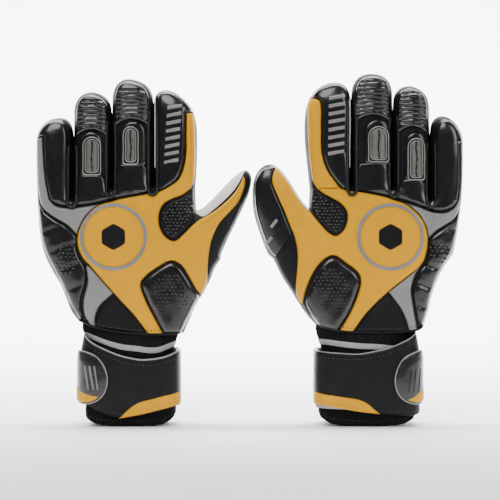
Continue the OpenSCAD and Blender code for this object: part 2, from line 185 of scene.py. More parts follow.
def outline(points, step=1.6):
    """Closed curve through points; corners are the points with a third value."""
    corners = [i for i, p in enumerate(points) if len(p) > 2]
    flat = [p[:2] for p in points]
    if not corners:
        n = len(flat)
        loop = catmull([flat[i % n] for i in range(-2, n + 3)], step)
        first = np.argmin(np.linalg.norm(loop - flat[0], axis=1))
        start = np.array(flat[0], float)
        hits = np.where(np.linalg.norm(loop - start, axis=1) < 1e-6)[0]
        return loop[hits[0]:hits[-1]] if len(hits) > 1 else loop[first:]
    flat = flat[corners[0]:] + flat[:corners[0]]
    marks = [c - corners[0] for c in corners] + [len(flat)]
    flat.append(flat[0])
    runs = [catmull(flat[a:b + 1], step)[:-1] for a, b in zip(marks, marks[1:])]
    return np.vstack(runs)


def resample(points, step):
    """The polyline through points, with its points step apart."""
    p = np.asarray(points, float)
    s = np.concatenate([[0], np.cumsum(np.linalg.norm(np.diff(p, axis=0), axis=1))])
    n = max(2, int(round(s[-1] / step)) + 1)
    t = np.linspace(0, s[-1], n)
    return np.stack([np.interp(t, s, p[:, k]) for k in range(p.shape[1])], axis=1)


def clip(points, origin, normal):
    """The part of a polygon on the side of a line that normal points to."""
    p = np.asarray(points, float)
    side = (p - np.asarray(origin, float)) @ np.asarray(normal, float)
    out = []
    for i in range(len(p)):
        j = (i + 1) % len(p)
        if side[i] >= 0:
            out.append(p[i])
        if (side[i] >= 0) != (side[j] >= 0):
            out.append(p[i] + (p[j] - p[i]) * side[i] / (side[i] - side[j]))
    return np.array(out)


def segments_distance(points, a, b, chunk=2048):
    """Distance from each point to the nearest of the segments a-b."""
    d = b - a
    length = np.maximum((d * d).sum(1), 1e-12)
    out = np.empty(len(points))
    for i in range(0, len(points), chunk):
        p = points[i:i + chunk, None, :]
        t = np.clip(((p - a) * d).sum(2) / length, 0, 1)
        out[i:i + chunk] = np.sqrt((((a + t[:, :, None] * d) - p) ** 2).sum(2)).min(1)
    return out


def inside(points, loop):
    """Which points are inside a closed loop."""
    x, y = points[:, 0], points[:, 1]
    hit = np.zeros(len(points), bool)
    for (x0, y0), (x1, y1) in zip(loop, np.roll(loop, -1, axis=0)):
        crosses = (y0 > y) != (y1 > y)
        if crosses.any():
            at = x0 + (y - y0) * (x1 - x0) / (y1 - y0 if y1 != y0 else 1e-9)
            hit ^= crosses & (x < at)
    return hit


def smooth(t):
    """Smooth step from 0 to 1."""
    t = np.clip(t, 0, 1)
    return t * t * (3 - 2 * t)


# ---------------------------------------------------------------- the body of each glove
def split_edge(g, f, side):
    """Distance outwards of finger f's own edge towards the slot: side 0 is the index side."""
    if side == 0:
        return SPLITS[g][f - 1] + HALF_GAP
    return SPLITS[g][f] - HALF_GAP


def finger_run(g, f):
    """Open outline of finger f from its low cut, over the tip and down to the cut again."""
    low = CUT_LOW[f]
    if f == 0:
        start = INDEX_SIDE[g]
    else:
        start = [(split_edge(g, f, 0), low), (split_edge(g, f, 0), SIDE_TOP)]
    if f == 3:
        end = [OUTER_SIDE[g][0], OUTER_SIDE[g][1], (OUTER_SIDE[g][2][0], low)]
    else:
        end = [(split_edge(g, f, 1), SIDE_TOP), (split_edge(g, f, 1), low)]
    return catmull(list(start) + list(TIPS[g][f]) + list(end), 1.2)


def finger_loop(g, f):
    """Outline of finger f above its low cut, closed against its neighbours below the slots."""
    run = finger_run(g, f)
    for side, k in ((0, f - 1), (1, f)):
        if 0 <= k < 3:
            edge = split_edge(g, f, side)
            pull = np.clip((CROTCH[k] + 1.5 - run[:, 1]) / 1.5, 0, 1)
            run[:, 0] += (SPLITS[g][k] - edge) * pull * (np.abs(run[:, 0] - edge) < 0.2)
    return run


def thumb_seam(g):
    """The two ends of the cut between the hand and the thumb: outer edge and fork."""
    return np.array(THUMB_ROOT[g], float), np.array(THUMB_FORK[g], float)


def seam_point(g, z):
    """The place on the thumb's seam at that height."""
    a, b = thumb_seam(g)
    return tuple(a + (b - a) * (z - a[1]) / (b[1] - a[1]))


def seam_normal(g):
    """Direction from the thumb's seam towards its tip."""
    a, b = thumb_seam(g)
    return across(b - a)


def thumb_run(g):
    """Open outline of the thumb from the start of its seam to the fork."""
    start, fork = thumb_seam(g)
    return catmull([tuple(start)] + list(THUMB_OUTER[g]) + list(THUMB_TIP[g])
                   + list(THUMB_INNER[g]) + [tuple(fork)], 1.2)


def outer_run(g):
    """The outer side of the hand, from the little finger's cut down to the hem."""
    start = (OUTER_SIDE[g][2][0], CUT_LOW[3])
    return catmull([start] + list(OUTER_SIDE[g][3:]), 1.2)


def thumb_side_run(g):
    """The thumb side of the hand, from the hem up to the thumb's seam."""
    return catmull(list(THUMB_SIDE[g]) + [tuple(thumb_seam(g)[0])], 1.2)


def hand_loop(g):
    """Outline of the hand, with steps along the fingers' low cuts."""
    s = SPLITS[g]
    top = [(INDEX_SIDE[g][0][0], CUT_LOW[0]), (s[0], CUT_LOW[0]), (s[0], CUT_LOW[1]),
           (s[1], CUT_LOW[1]), (s[1], CUT_LOW[2]), (s[2] - HALF_GAP, CUT_LOW[2]),
           (s[2] - HALF_GAP, CROTCH[2] + 1.5), (s[2], CROTCH[2]), (s[2], CUT_LOW[3])]
    hem = catmull([p[:2] for p in HEM[g]], 1.6)
    runs = [thumb_side_run(g), resample([thumb_seam(g)[0], thumb_seam(g)[1]], 1.6)[1:], top,
            outer_run(g), hem[1:-1]]
    return np.vstack(runs)


def silhouette(g):
    """Closed outline of the whole glove, carried on below the hem."""
    loop = [((62, 56)[g], WRIST_FOOT)]
    loop += [tuple(p) for p in thumb_side_run(g)]
    loop += [tuple(p) for p in thumb_run(g)[1:]]
    for f in range(4):
        run = finger_run(g, f)
        keep = np.ones(len(run), bool)
        for k in (f - 1, f):
            if 0 <= k < 3:
                keep &= (np.abs(run[:, 0] - SPLITS[g][k]) > 2) | (run[:, 1] > CROTCH[k] + 2)
        if f > 0:
            split = SPLITS[g][f - 1]
            loop += [(split - HALF_GAP, CROTCH[f - 1] + 1), (split, CROTCH[f - 1]),
                     (split + HALF_GAP, CROTCH[f - 1] + 1)]
        loop += [tuple(p) for p in run[keep]]
    loop += [tuple(p) for p in outer_run(g)[1:]]
    loop += [((140, 136)[g], WRIST_FOOT)]
    return np.array(loop)


GRID = 0.8
GRID_LOW = np.array([-4.0, 44.0])
GRID_SHAPE = (236, 312)
FILM_SPREAD = 9.5      # how far in from the outline the padding keeps rising
FILM_ROUNDS = 420
BACK_PUFF, PALM_PUFF, HEEL_PUFF = 1.62, 1.55, 0.15
SLOT_DIP, SLOT_DIP_W = 1.5, 3.2     # the dip in the back below each slot


class Body:
    """Padded body of a glove: how far its back and palm stand out at any place (u, z)."""

    def __init__(self, g):
        self.g = g
        self.loop = silhouette(g)
        self.a, self.b = self.loop, np.roll(self.loop, -1, axis=0)
        u = GRID_LOW[0] + GRID * np.arange(GRID_SHAPE[0])
        z = GRID_LOW[1] + GRID * np.arange(GRID_SHAPE[1])
        nodes = np.stack(np.meshgrid(u, z, indexing="ij"), -1).reshape(-1, 2)
        mask = inside(nodes, self.loop)
        d = np.zeros(len(nodes))
        d[mask] = segments_distance(nodes[mask], self.a, self.b)
        mask, d = mask.reshape(GRID_SHAPE), d.reshape(GRID_SHAPE)
        phi = self.inflate(mask)
        good = mask & (d > 1.3 * GRID)
        ratio = np.where(good, phi / np.maximum(d, 0.1), 0.0)
        self.ratio = self.fill(ratio, good)

    @staticmethod
    def inflate(mask):
        """A film over the outline, pushed up and held down: flat in wide places."""
        phi = np.zeros(mask.shape)
        pull = (GRID / FILM_SPREAD) ** 2
        for _ in range(FILM_ROUNDS):
            total = np.zeros_like(phi)
            total[1:-1, 1:-1] = (phi[2:, 1:-1] + phi[:-2, 1:-1] + phi[1:-1, 2:] + phi[1:-1, :-2])
            phi = np.where(mask, (total + GRID ** 2) / (4 + pull), 0.0)
        return phi

    @staticmethod
    def fill(values, known):
        """Spreads known values outwards, then blurs them a little."""
        weight = known.astype(float)
        total = values * weight
        for _ in range(14):
            near_t, near_w = np.zeros_like(total), np.zeros_like(weight)
            for dx, dy in ((1, 0), (-1, 0), (0, 1), (0, -1)):
                near_t += np.roll(total, (dx, dy), (0, 1))
                near_w += np.roll(weight, (dx, dy), (0, 1))
            new = (weight == 0) & (near_w > 0)
            total = np.where(new, near_t / np.maximum(near_w, 1e-9), total)
            weight = np.where(new, 1.0, weight)
        for _ in range(2):
            total = sum(np.roll(total, s, (0, 1)) for s in
                        ((0, 0), (1, 0), (-1, 0), (0, 1), (0, -1))) / 5
        return total

    def sample(self, p):
        """The stored ratio at each place, between the grid's nodes."""
        q = (p - GRID_LOW) / GRID
        i = np.clip(np.floor(q).astype(int), 0, np.array(GRID_SHAPE) - 2)
        t = np.clip(q - i, 0, 1)
        r = self.ratio
        x, y = i[:, 0], i[:, 1]
        return ((r[x, y] * (1 - t[:, 0]) + r[x + 1, y] * t[:, 0]) * (1 - t[:, 1])
                + (r[x, y + 1] * (1 - t[:, 0]) + r[x + 1, y + 1] * t[:, 0]) * t[:, 1])

    def puff(self, p):
        """How much the padding rises at each place: like a root near the outline."""
        p = np.asarray(p, float)
        d = segments_distance(p, self.a, self.b)
        d[~inside(p, self.loop)] = 0
        return np.sqrt(np.maximum(self.sample(p) * d, 0))

    def back(self, p):
        """Height of the back of the glove over the middle plane."""
        p = np.asarray(p, float)
        h = BACK_PUFF * self.puff(p)
        for i, split in enumerate(SPLITS[self.g]):
            reach = smooth((p[:, 1] - (CROTCH[i] - 30)) / 30) * smooth((CROTCH[i] + 8 - p[:, 1]) / 8)
            dip = SLOT_DIP * np.exp(-((p[:, 0] - split) / SLOT_DIP_W) ** 2)
            h -= reach * dip * np.minimum(h / 6, 1)
        return RIM_FRONT + h

    def palm(self, p):
        """Depth of the palm behind the middle plane."""
        p = np.asarray(p, float)
        heel = smooth((150 - p[:, 1]) / 40)
        return RIM_PALM + (PALM_PUFF + HEEL_PUFF * heel) * self.puff(p)


# ---------------------------------------------------------------- making meshes
materials = {}


def side_point(g, uyz):
    """From glove terms in millimetres to the shared frame in metres."""
    out = np.array(uyz, float) * MM
    if g == 0:
        out[:, 0] = -out[:, 0]
    return out


def make(name, g, uyz, faces, mat, sharp=42):
    """A mesh object of glove g, with its normals outwards and its hard edges marked."""
    mesh = bpy.data.meshes.new(f"{SIDES[g]}_{name}")
    mesh.from_pydata(side_point(g, uyz).tolist(), [], [list(map(int, f)) for f in faces])
    bm = bmesh.new()
    bm.from_mesh(mesh)
    bmesh.ops.remove_doubles(bm, verts=bm.verts, dist=1e-7)
    bmesh.ops.recalc_face_normals(bm, faces=bm.faces)
    bm.to_mesh(mesh)
    bm.free()
    mesh.polygons.foreach_set("use_smooth", [True] * len(mesh.polygons))
    mesh.set_sharp_from_angle(angle=math.radians(sharp))
    obj = bpy.data.objects.new(f"{SIDES[g]}_{name}_skin", mesh)
    bpy.context.scene.collection.objects.link(obj)
    mesh.materials.append(materials[mat])
    obj["slot"] = mat
    return obj


def attach(obj, g, place):
    """Fixes a piece to the hand or the tab; a piece of a finger or the thumb is only baked in place, fixed to
    nothing that bends.
    """
    side = SIDES[g]
    if place in ("hand", "tab"):
        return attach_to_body(obj, f"{side}_{place}")
    part, end = place
    if part == "thumb":
        if end == "lower":
            a, n, reach, names = thumb_seam(g)[0], seam_normal(g), BASE_REACH[g], ("hand", "thumb_base")
        else:
            mid, n = fold_frame(THUMB_JOINT[g])
            a, reach, names = mid - n * JOINT_ZONE, 2 * JOINT_ZONE, ("thumb_base", "thumb_tip")
        b = a + n * reach
        start, stop = side_point(g, [(a[0], 0, a[1]), (b[0], 0, b[1])])
    else:
        f = FINGERS.index(part)
        if end == "lower":
            z0, z1, names = CUT_LOW[f], KNUCKLE_Z[f] + FOLD_REACH, ("hand", f"{part}_base")
        else:
            z0, z1 = BEND_Z[f] - FOLD_REACH, BEND_Z[f] + FOLD_REACH
            names = (f"{part}_base", f"{part}_tip")
        start, stop = (0.0, 0.0, z0 * MM), (0.0, 0.0, z1 * MM)
    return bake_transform(obj, f"{side}_{names[0]}", f"{side}_{names[1]}", tuple(start), tuple(stop))


def triangulate(loop, inner):
    """Triangles inside a closed loop that use the inner points too."""
    points = [tuple(p) for p in loop] + [tuple(p) for p in inner]
    verts, _, faces, *_ = delaunay_2d_cdt(points, [], [list(range(len(loop)))], 1, 1e-5)
    return np.array([tuple(v) for v in verts], float), [tuple(f) for f in faces]


def rim_edges(faces):
    """Edges that only one face uses, in that face's direction."""
    seen = {}
    for f in faces:
        for a, b in zip(f, f[1:] + f[:1]):
            seen[(a, b)] = True
    return [(a, b) for (a, b) in seen if (b, a) not in seen]


def fill_points(loop, hard, rings, step):
    """Rings of points inside the hard edges, and an even field of points inside those."""
    a, b = loop, np.roll(loop, -1, axis=0)
    d = b - a
    length = np.maximum(np.linalg.norm(d, axis=1), 1e-9)
    area = 0.5 * np.sum(a[:, 0] * b[:, 1] - b[:, 0] * a[:, 1])
    normal = np.stack([-d[:, 1], d[:, 0]], 1) / length[:, None] * (1 if area > 0 else -1)
    points = []
    last = 0.0
    for depth in rings:
        mid = (a + b) / 2 + normal * depth
        near = segments_distance(mid, a, b)
        keep = (near > depth * 0.93) & inside(mid, loop) & hard
        points.append(mid[keep])
        last = depth
    low, high = loop.min(0), loop.max(0)
    rows = np.arange(low[1], high[1] + step, step * 0.87)
    field = [(u + (step / 2 if i % 2 else 0), z) for i, z in enumerate(rows)
             for u in np.arange(low[0], high[0] + step, step)]
    field = np.array(field)
    field = field[inside(field, loop)]
    near = segments_distance(field, a, b)
    hard_near = segments_distance(field, a[hard], b[hard]) if hard.any() else near + 99
    field = field[(near > 0.45 * step) & (hard_near > last + 0.55 * step)]
    return np.vstack(points + [field])


def densify(loop, step):
    """The same loop, with its long edges split, so that they can follow a curved surface."""
    out = []
    for a, b in zip(loop, np.roll(loop, -1, axis=0)):
        n = max(1, int(math.ceil(np.linalg.norm(b - a) / step - 0.25)))
        out += [a + (b - a) * i / n for i in range(n)]
    return np.array(out)


def on_cut(p, cuts):
    """Which points lie on one of the cut lines, each an origin and a normal."""
    hit = np.zeros(len(p), bool)
    for origin, normal in cuts:
        hit |= np.abs((p - np.asarray(origin, float)) @ np.asarray(normal, float)) < 0.02
    return hit


def hard_edges(loop, cuts):
    """Which edges of a loop are real edges, and not along a cut."""
    nxt = np.roll(loop, -1, axis=0)
    hard = np.ones(len(loop), bool)
    for cut in cuts:
        hard &= ~(on_cut(loop, [cut]) & on_cut(nxt, [cut]))
    return hard


def panel(name, g, loop, lift, mat, place, thick=1.8, edge=2.4, step=2.2, sink=0.7, cuts=(),
          relief=None, floor=None):
    """A sewn or moulded panel: a closed skin whose real edges are rounded over.

    lift turns places (u, z) and heights into glove terms. relief adds height at each place.
    """
    loop = densify(loop, 0.8 * step)
    hard = hard_edges(loop, cuts)
    rings = [edge * k for k in (0.12, 0.35, 0.7, 1.0)] if edge else []
    verts, faces = triangulate(loop, fill_points(loop, hard, rings, step))
    nxt = np.roll(loop, -1, axis=0)
    d = segments_distance(verts, loop[hard], nxt[hard]) if hard.any() else np.full(len(verts), FAR)
    rise = np.sqrt(np.clip(1 - (1 - np.minimum(d / max(edge, 1e-6), 1)) ** 2, 0, 1))
    height = thick * rise
    if relief is not None:
        height = height + relief(verts, d) * rise
    top = lift(verts, height)
    under = lift(verts, np.full(len(verts), -sink)) if floor is None else floor(verts)
    n = len(verts)
    skin = list(faces) + [tuple(n + i for i in reversed(f)) for f in faces]
    skin += [(b, a, n + a, n + b) for a, b in rim_edges(faces)]
    return finish_piece(make(name, g, np.vstack([top, under]), skin, mat), g, place)


def finish_piece(obj, g, place):
    """Attaches a finished piece and hands it back."""
    attach(obj, g, place)
    return obj


def tube(points, radius, sides=8, closed=False):
    """Vertices and faces of a tube along points; radius is a number or one for each point."""
    p = np.asarray(points, float)
    n = len(p)
    radius = np.broadcast_to(np.asarray(radius, float), n)
    ahead = np.roll(p, -1, axis=0) - np.roll(p, 1, axis=0)
    if not closed:
        ahead[0], ahead[-1] = p[1] - p[0], p[-1] - p[-2]
    ahead /= np.maximum(np.linalg.norm(ahead, axis=1), 1e-9)[:, None]
    up = np.array([0.0, 1.0, 0.0])
    verts = []
    for i in range(n):
        side = np.cross(ahead[i], up)
        if np.linalg.norm(side) < 0.2:
            side = np.cross(ahead[i], (1.0, 0.0, 0.0))
        side /= np.linalg.norm(side)
        out = np.cross(side, ahead[i])
        for k in range(sides):
            a = 2 * math.pi * k / sides
            verts.append(p[i] + radius[i] * (math.cos(a) * side + math.sin(a) * out))
    faces = []
    for i in range(n if closed else n - 1):
        j = (i + 1) % n
        for k in range(sides):
            m = (k + 1) % sides
            faces.append((i * sides + k, i * sides + m, j * sides + m, j * sides + k))
    if not closed:
        faces.append(tuple(range(sides))[::-1])
        faces.append(tuple((n - 1) * sides + k for k in range(sides)))
    return np.array(verts), faces


def join(parts):
    """One list of vertices and faces from several."""
    verts, faces, base = [], [], 0
    for v, f in parts:
        verts.append(np.asarray(v))
        faces += [tuple(base + i for i in face) for face in f]
        base += len(v)
    return np.vstack(verts), faces


def beads(name, g, runs, radius, mat, place, length=1.7, depth=0.22):
    """Beaded threads along runs of points in glove terms, as one piece."""
    parts = []
    for run in runs:
        p = resample(run, length / 4)
        parts.append(tube(p, radius + depth * np.abs(np.sin(np.arange(len(p)) * math.pi / 4))))
    verts, faces = join(parts)
    return finish_piece(make(name, g, verts, faces, mat, sharp=60), g, place)


def stitches(name, g, runs, mat, place, length=2.0, gap=1.3, radius=0.32):
    """Short threads along runs of points in glove terms."""
    parts = []
    for run in runs:
        p = resample(run, (length + gap) / 4)
        for i in range(0, len(p) - 3, 4):
            a, b = p[i], p[i + 2]
            pts = [a + (b - a) * t for t in (0, 0.2, 0.5, 0.8, 1)]
            parts.append(tube(pts, [radius * 0.3, radius, radius * 1.15, radius, radius * 0.3], 6))
    verts, faces = join(parts)
    return finish_piece(make(name, g, verts, faces, mat, sharp=80), g, place)


def domes(name, g, centres, lift, mat, place, size=1.15, height=0.75, squash=0.8):
    """Small moulded bumps at places (u, z), as one piece."""
    parts = []
    rings, sides = (1.0, 0.82, 0.45), 8
    for n, c in enumerate(centres):
        turn = 0.9 * n
        pts, hs = [], []
        for ring in rings:
            for k in range(sides):
                a = 2 * math.pi * k / sides + turn
                pts.append(c + size * ring * np.array([math.cos(a), squash * math.sin(a)]))
                hs.append(-0.5 if ring == 1.0 else height * math.sqrt(1 - ring ** 2 * 0.9))
        pts.append(c)
        hs.append(height)
        pts, hs = np.array(pts), np.array(hs)
        verts = lift(pts, hs)
        faces = [(r * sides + k, r * sides + (k + 1) % sides, (r + 1) * sides + (k + 1) % sides,
                  (r + 1) * sides + k) for r in range(2) for k in range(sides)]
        faces += [(2 * sides + k, 2 * sides + (k + 1) % sides, 3 * sides) for k in range(sides)]
        faces.append(tuple(range(sides))[::-1])
        parts.append((verts, faces))
    verts, faces = join(parts)
    return finish_piece(make(name, g, verts, faces, mat, sharp=70), g, place)


def loft(rings, closed=True):
    """Vertices and faces of a skin over rings of points, each ring a closed profile."""
    rings = np.asarray(rings, float)
    n, m = rings.shape[:2]
    faces = []
    for i in range(n if closed else n - 1):
        j = (i + 1) % n
        faces += [(i * m + k, i * m + (k + 1) % m, j * m + (k + 1) % m, j * m + k) for k in range(m)]
    if not closed:
        faces.append(tuple(range(m))[::-1])
        faces.append(tuple((n - 1) * m + k for k in range(m)))
    return rings.reshape(-1, 3), faces


def outwards(p, closed):
    """Unit normals to the left of a run of places."""
    ahead = np.roll(p, -1, axis=0) - np.roll(p, 1, axis=0)
    if not closed:
        ahead[0], ahead[-1] = p[1] - p[0], p[-1] - p[-2]
    ahead /= np.maximum(np.linalg.norm(ahead, axis=1), 1e-9)[:, None]
    return np.stack([-ahead[:, 1], ahead[:, 0]], 1)


def band(name, g, runs, profile, mat, place, step=1.6):
    """A strip round the edge of a glove along runs of (u, z): profile is (outwards, y) pairs."""
    parts = []
    for run in runs:
        p = resample(run, step)
        n = outwards(p, False)
        rings = [[(p[i, 0] + n[i, 0] * o, y, p[i, 1] + n[i, 1] * o) for o, y in profile]
                 for i in range(len(p))]
        parts.append(loft(rings, closed=False))
    verts, faces = join(parts)
    return finish_piece(make(name, g, verts, faces, mat), g, place)


def ribbon(name, g, runs, profile, lift, mat, place, closed=False, step=1.2, sharp=50):
    """A strip laid on a surface along runs of places: profile is (across, height) pairs."""
    parts = []
    for run in runs:
        p = resample(np.vstack([run, run[:1]]) if closed else run, step)
        p = p[:-1] if closed else p
        n = outwards(p, closed)
        rows = [lift(p + n * across, np.full(len(p), height)) for across, height in profile]
        parts.append(loft(np.stack(rows, 1), closed))
    verts, faces = join(parts)
    return finish_piece(make(name, g, verts, faces, mat, sharp), g, place)


def cord_profile(radius, height, sides=8):
    """Round profile for ribbon(), with its middle at a height."""
    return [(radius * math.cos(2 * math.pi * k / sides), height + radius * math.sin(2 * math.pi * k / sides))
            for k in range(sides)]


def split_run(run, origin, normal):
    """Stretches of a run before and after a line: two lists of runs."""
    p = np.asarray(run, float)
    side = (p - np.asarray(origin, float)) @ np.asarray(normal, float)
    out = ([], [])
    now = [p[0]]
    for i in range(1, len(p)):
        if (side[i] >= 0) != (side[i - 1] >= 0):
            cross = p[i - 1] + (p[i] - p[i - 1]) * side[i - 1] / (side[i - 1] - side[i])
            out[int(side[i - 1] >= 0)].append(np.array(now + [cross]))
            now = [cross]
        now.append(p[i])
    out[int(side[-1] >= 0)].append(np.array(now))
    return tuple([r for r in runs if len(r) > 1 and np.ptp(r, axis=0).max() > 0.6] for runs in out)


UP = (0.0, 1.0)


def finger_cuts(f):
    return [((0, CUT_LOW[f]), UP), ((0, CUT_MID[f]), UP)]


def finger_panel(name, g, f, loop, lift, mat, **style):
    """A panel on a finger, cut in two where the lower pieces meet the upper ones."""
    made = []
    for end, normal in (("lower", (0, -1)), ("upper", UP)):
        part = clip(loop, (0, CUT_MID[f]), normal)
        if len(part) > 2 and np.ptp(part[:, 1]) > 0.8:
            made.append(panel(f"{name}_{end}", g, part, lift, mat, (FINGERS[f], end),
                              cuts=finger_cuts(f), **style))
    return made


def finger_line(maker, name, g, f, runs, *args, **style):
    """Strands, ribbons or stitches on a finger, cut in two like its panels."""
    halves = ([], [])
    for run in runs:
        for kept, part in zip(halves, split_run(run, (0, CUT_MID[f]), UP)):
            kept += part
    return [maker(f"{name}_{end}", g, part, *args, (FINGERS[f], end), **style)
            for end, part in zip(("lower", "upper"), halves) if part]


def thumb_cuts(g):
    """The cuts below and above the thumb's lower pieces."""
    a, b = np.array(THUMB_MID[g], float)
    return [(thumb_seam(g)[0], seam_normal(g)), (a, across(b - a))]


def thumb_panel(name, g, loop, lift, mat, **style):
    """A panel on the thumb, cut in two like the thumb's stall."""
    origin, normal = thumb_cuts(g)[1]
    made = []
    for end, towards in (("lower", -normal), ("upper", normal)):
        part = clip(loop, origin, towards)
        if len(part) > 2:
            made.append(panel(f"{name}_{end}", g, part, lift, mat, ("thumb", end),
                              cuts=thumb_cuts(g), **style))
    return made


def thumb_line(maker, name, g, runs, *args, **style):
    origin, normal = thumb_cuts(g)[1]
    halves = ([], [])
    for run in runs:
        for kept, part in zip(halves, split_run(run, origin, normal)):
            kept += part
    return [maker(f"{name}_{end}", g, part, *args, ("thumb", end), **style)
            for end, part in zip(("lower", "upper"), halves) if part]


def laid(runs, lift, height):
    """Runs of places, laid at a height on a surface."""
    runs = [resample(run, 0.8) for run in runs]
    return [lift(p, np.full(len(p), height)) for p in runs]


def stitches_on(name, g, runs, lift, height, mat, place, **style):
    """Stitches laid on a surface along runs of places."""
    return stitches(name, g, laid(runs, lift, height), mat, place, **style)


class Graph:
    """A material's nodes, with short names for the ones used here."""

    def __init__(self, name):
        self.material = bpy.data.materials.new(name)
        self.material.use_nodes = True
        self.nodes, self.links = self.material.node_tree.nodes, self.material.node_tree.links
        self.bsdf = self.nodes["Principled BSDF"]
        self.place = self.nodes.new("ShaderNodeTexCoord").outputs["Object"]

    def add(self, kind, **values):
        node = self.nodes.new(kind)
        for key, value in values.items():
            if key in node.bl_rna.properties:
                setattr(node, key, value)
            else:
                node.inputs[key.replace("_", " ").title()].default_value = value
        return node

    def noise(self, scale, detail=3.0):
        node = self.add("ShaderNodeTexNoise", Scale=scale, Detail=detail, Roughness=0.55)
        self.links.new(self.place, node.inputs["Vector"])
        return node.outputs["Fac"]

    def cells(self, scale, feature="F1"):
        node = self.add("ShaderNodeTexVoronoi", feature=feature, Scale=scale)
        self.links.new(self.place, node.inputs["Vector"])
        return node.outputs["Distance"]

    def bands(self, scale, direction):
        node = self.add("ShaderNodeTexWave", bands_direction=direction, wave_profile="SIN",
                        Scale=scale, Distortion=0.4, Detail=1.0)
        self.links.new(self.place, node.inputs["Vector"])
        return node.outputs["Fac"]

    def sum(self, a, b, weight=1.0):
        node = self.add("ShaderNodeMath", operation="MULTIPLY_ADD")
        self.links.new(b, node.inputs[0])
        node.inputs[1].default_value = weight
        self.links.new(a, node.inputs[2])
        return node.outputs[0]

    def bump(self, height, strength, distance, under=None):
        node = self.add("ShaderNodeBump")
        node.inputs["Strength"].default_value = strength
        node.inputs["Distance"].default_value = distance
        self.links.new(height, node.inputs["Height"])
        if under is not None:
            self.links.new(under, node.inputs["Normal"])
        return node.outputs["Normal"]

    def colour(self, fac, low, high):
        ramp = self.add("ShaderNodeValToRGB")
        ramp.color_ramp.elements[0].position, ramp.color_ramp.elements[1].position = 0.32, 0.68
        ramp.color_ramp.elements[0].color = (*low, 1)
        ramp.color_ramp.elements[1].color = (*high, 1)
        self.links.new(fac, ramp.inputs["Fac"])
        self.links.new(ramp.outputs["Color"], self.bsdf.inputs["Base Color"])

    def roughness(self, fac, low, high):
        node = self.add("ShaderNodeMapRange")
        node.inputs["To Min"].default_value, node.inputs["To Max"].default_value = low, high
        self.links.new(fac, node.inputs["Value"])
        self.links.new(node.outputs["Result"], self.bsdf.inputs["Roughness"])

    def finish(self, normal, **fixed):
        self.links.new(normal, self.bsdf.inputs["Normal"])
        for key, value in fixed.items():
            self.bsdf.inputs[key.replace("_", " ")].default_value = value
        return self.material


def tint(color, factor):
    return tuple(min(1.0, c * factor) for c in color)


def leather(name, color, rough, vary=0.1, grain=1100.0, depth=0.10, dents=0.35, **fixed):
    """Polyurethane sheet: fine pebble grain, soft dents, and slightly uneven gloss."""
    n = Graph(name)
    soft = n.noise(70.0, 3.0)
    n.colour(soft, tint(color, 1 - vary), tint(color, 1 + vary))
    n.roughness(n.noise(260.0, 4.0), rough * 0.75, rough * 1.3)
    normal = n.bump(n.noise(75.0, 2.0), dents, 0.0009)
    normal = n.bump(n.cells(grain, "SMOOTH_F1"), depth, 0.0003, normal)
    return n.finish(normal, **fixed)


def knit(name, color, rough, scale, vary=0.25, depth=0.5, directions=("X", "Z"), **fixed):
    """Woven or ribbed cloth: crossing bands of thread over a little fuzz."""
    n = Graph(name)
    first = n.bands(scale, directions[0])
    threads = n.sum(first, n.bands(scale, directions[-1]), 1.0 if len(directions) > 1 else 0.0)
    fuzz = n.noise(2400.0, 2.0)
    n.colour(n.noise(500.0, 3.0), tint(color, 1 - vary), tint(color, 1 + vary))
    n.roughness(fuzz, rough * 0.9, min(1.0, rough * 1.1))
    normal = n.bump(n.sum(threads, fuzz, 0.5), depth, 0.0003)
    return n.finish(normal, **fixed)


def foam(name, color, rough):
    """Latex foam: fine open pores, and a faint mottling."""
    n = Graph(name)
    n.colour(n.noise(90.0, 4.0), tint(color, 0.93), tint(color, 1.05))
    n.roughness(n.noise(700.0), rough * 0.92, rough * 1.05)
    pores = n.sum(n.cells(1900.0), n.noise(900.0, 3.0), 0.8)
    return n.finish(n.bump(pores, 0.45, 0.0003), Specular_IOR_Level=0.25)


materials.update({
    "black": leather("black_pu", (0.006, 0.006, 0.007), 0.42, 0.2, Specular_IOR_Level=0.14),
    "gloss": leather("gloss_pu", (0.006, 0.006, 0.007), 0.24, 0.25, depth=0.05, dents=0.3,
                     Specular_IOR_Level=0.4, Coat_Weight=0.35, Coat_Roughness=0.14),
    "yellow": leather("yellow_pu", (0.56, 0.262, 0.0), 0.45, 0.03, Specular_IOR_Level=0.15),
    "grey": leather("grey_pu", (0.165, 0.166, 0.166), 0.38, 0.06, Coat_Weight=0.15, Coat_Roughness=0.3),
    # Grey of the printed bars and the badge ring; on the left glove's tab ribs it is partly a painted
    # highlight.
    "bar": leather("print_grey_and_painted_highlight", (0.15, 0.148, 0.145), 0.45, 0.12, depth=0.2),
    "latex": foam("latex_foam", (0.60, 0.59, 0.55), 0.85),
    "mesh": knit("stretch_mesh", (0.010, 0.010, 0.011), 0.9, 260.0, Specular_IOR_Level=0.0),
    "elastic": knit("ribbed_elastic", (0.007, 0.007, 0.008), 0.9, 170.0, directions=("X",),
                    Specular_IOR_Level=0.05),
    "stripe": knit("woven_stripe", (0.27, 0.27, 0.265), 0.6, 330.0, 0.12),
    "silver": leather("silver_trim", (0.24, 0.23, 0.21), 0.3, 0.1, grain=1500.0, Metallic=0.25),
    "satin": knit("silver_satin", (0.10, 0.097, 0.088), 0.3, 420.0, 0.1, 0.2, ("X", "Z"), Metallic=0.3),
    "loop": knit("loop_pile", (0.009, 0.009, 0.010), 0.95, 480.0, 0.4, 0.9, Sheen_Weight=0.35),
    "black_thread": knit("black_thread", (0.014, 0.014, 0.014), 0.6, 700.0),
    # The thread on the yellow parts is yellow; its dark, shaded yellow here is painted shade along the stitch
    # lines.
    "dark_thread": knit("dark_thread", (0.10, 0.06, 0.01), 0.6, 700.0),
})


# ---------------------------------------------------------------- shells of the glove
BODIES = [Body(0), Body(1)]
OVERLAY_T = 2.0
SHELL_T = 3.0


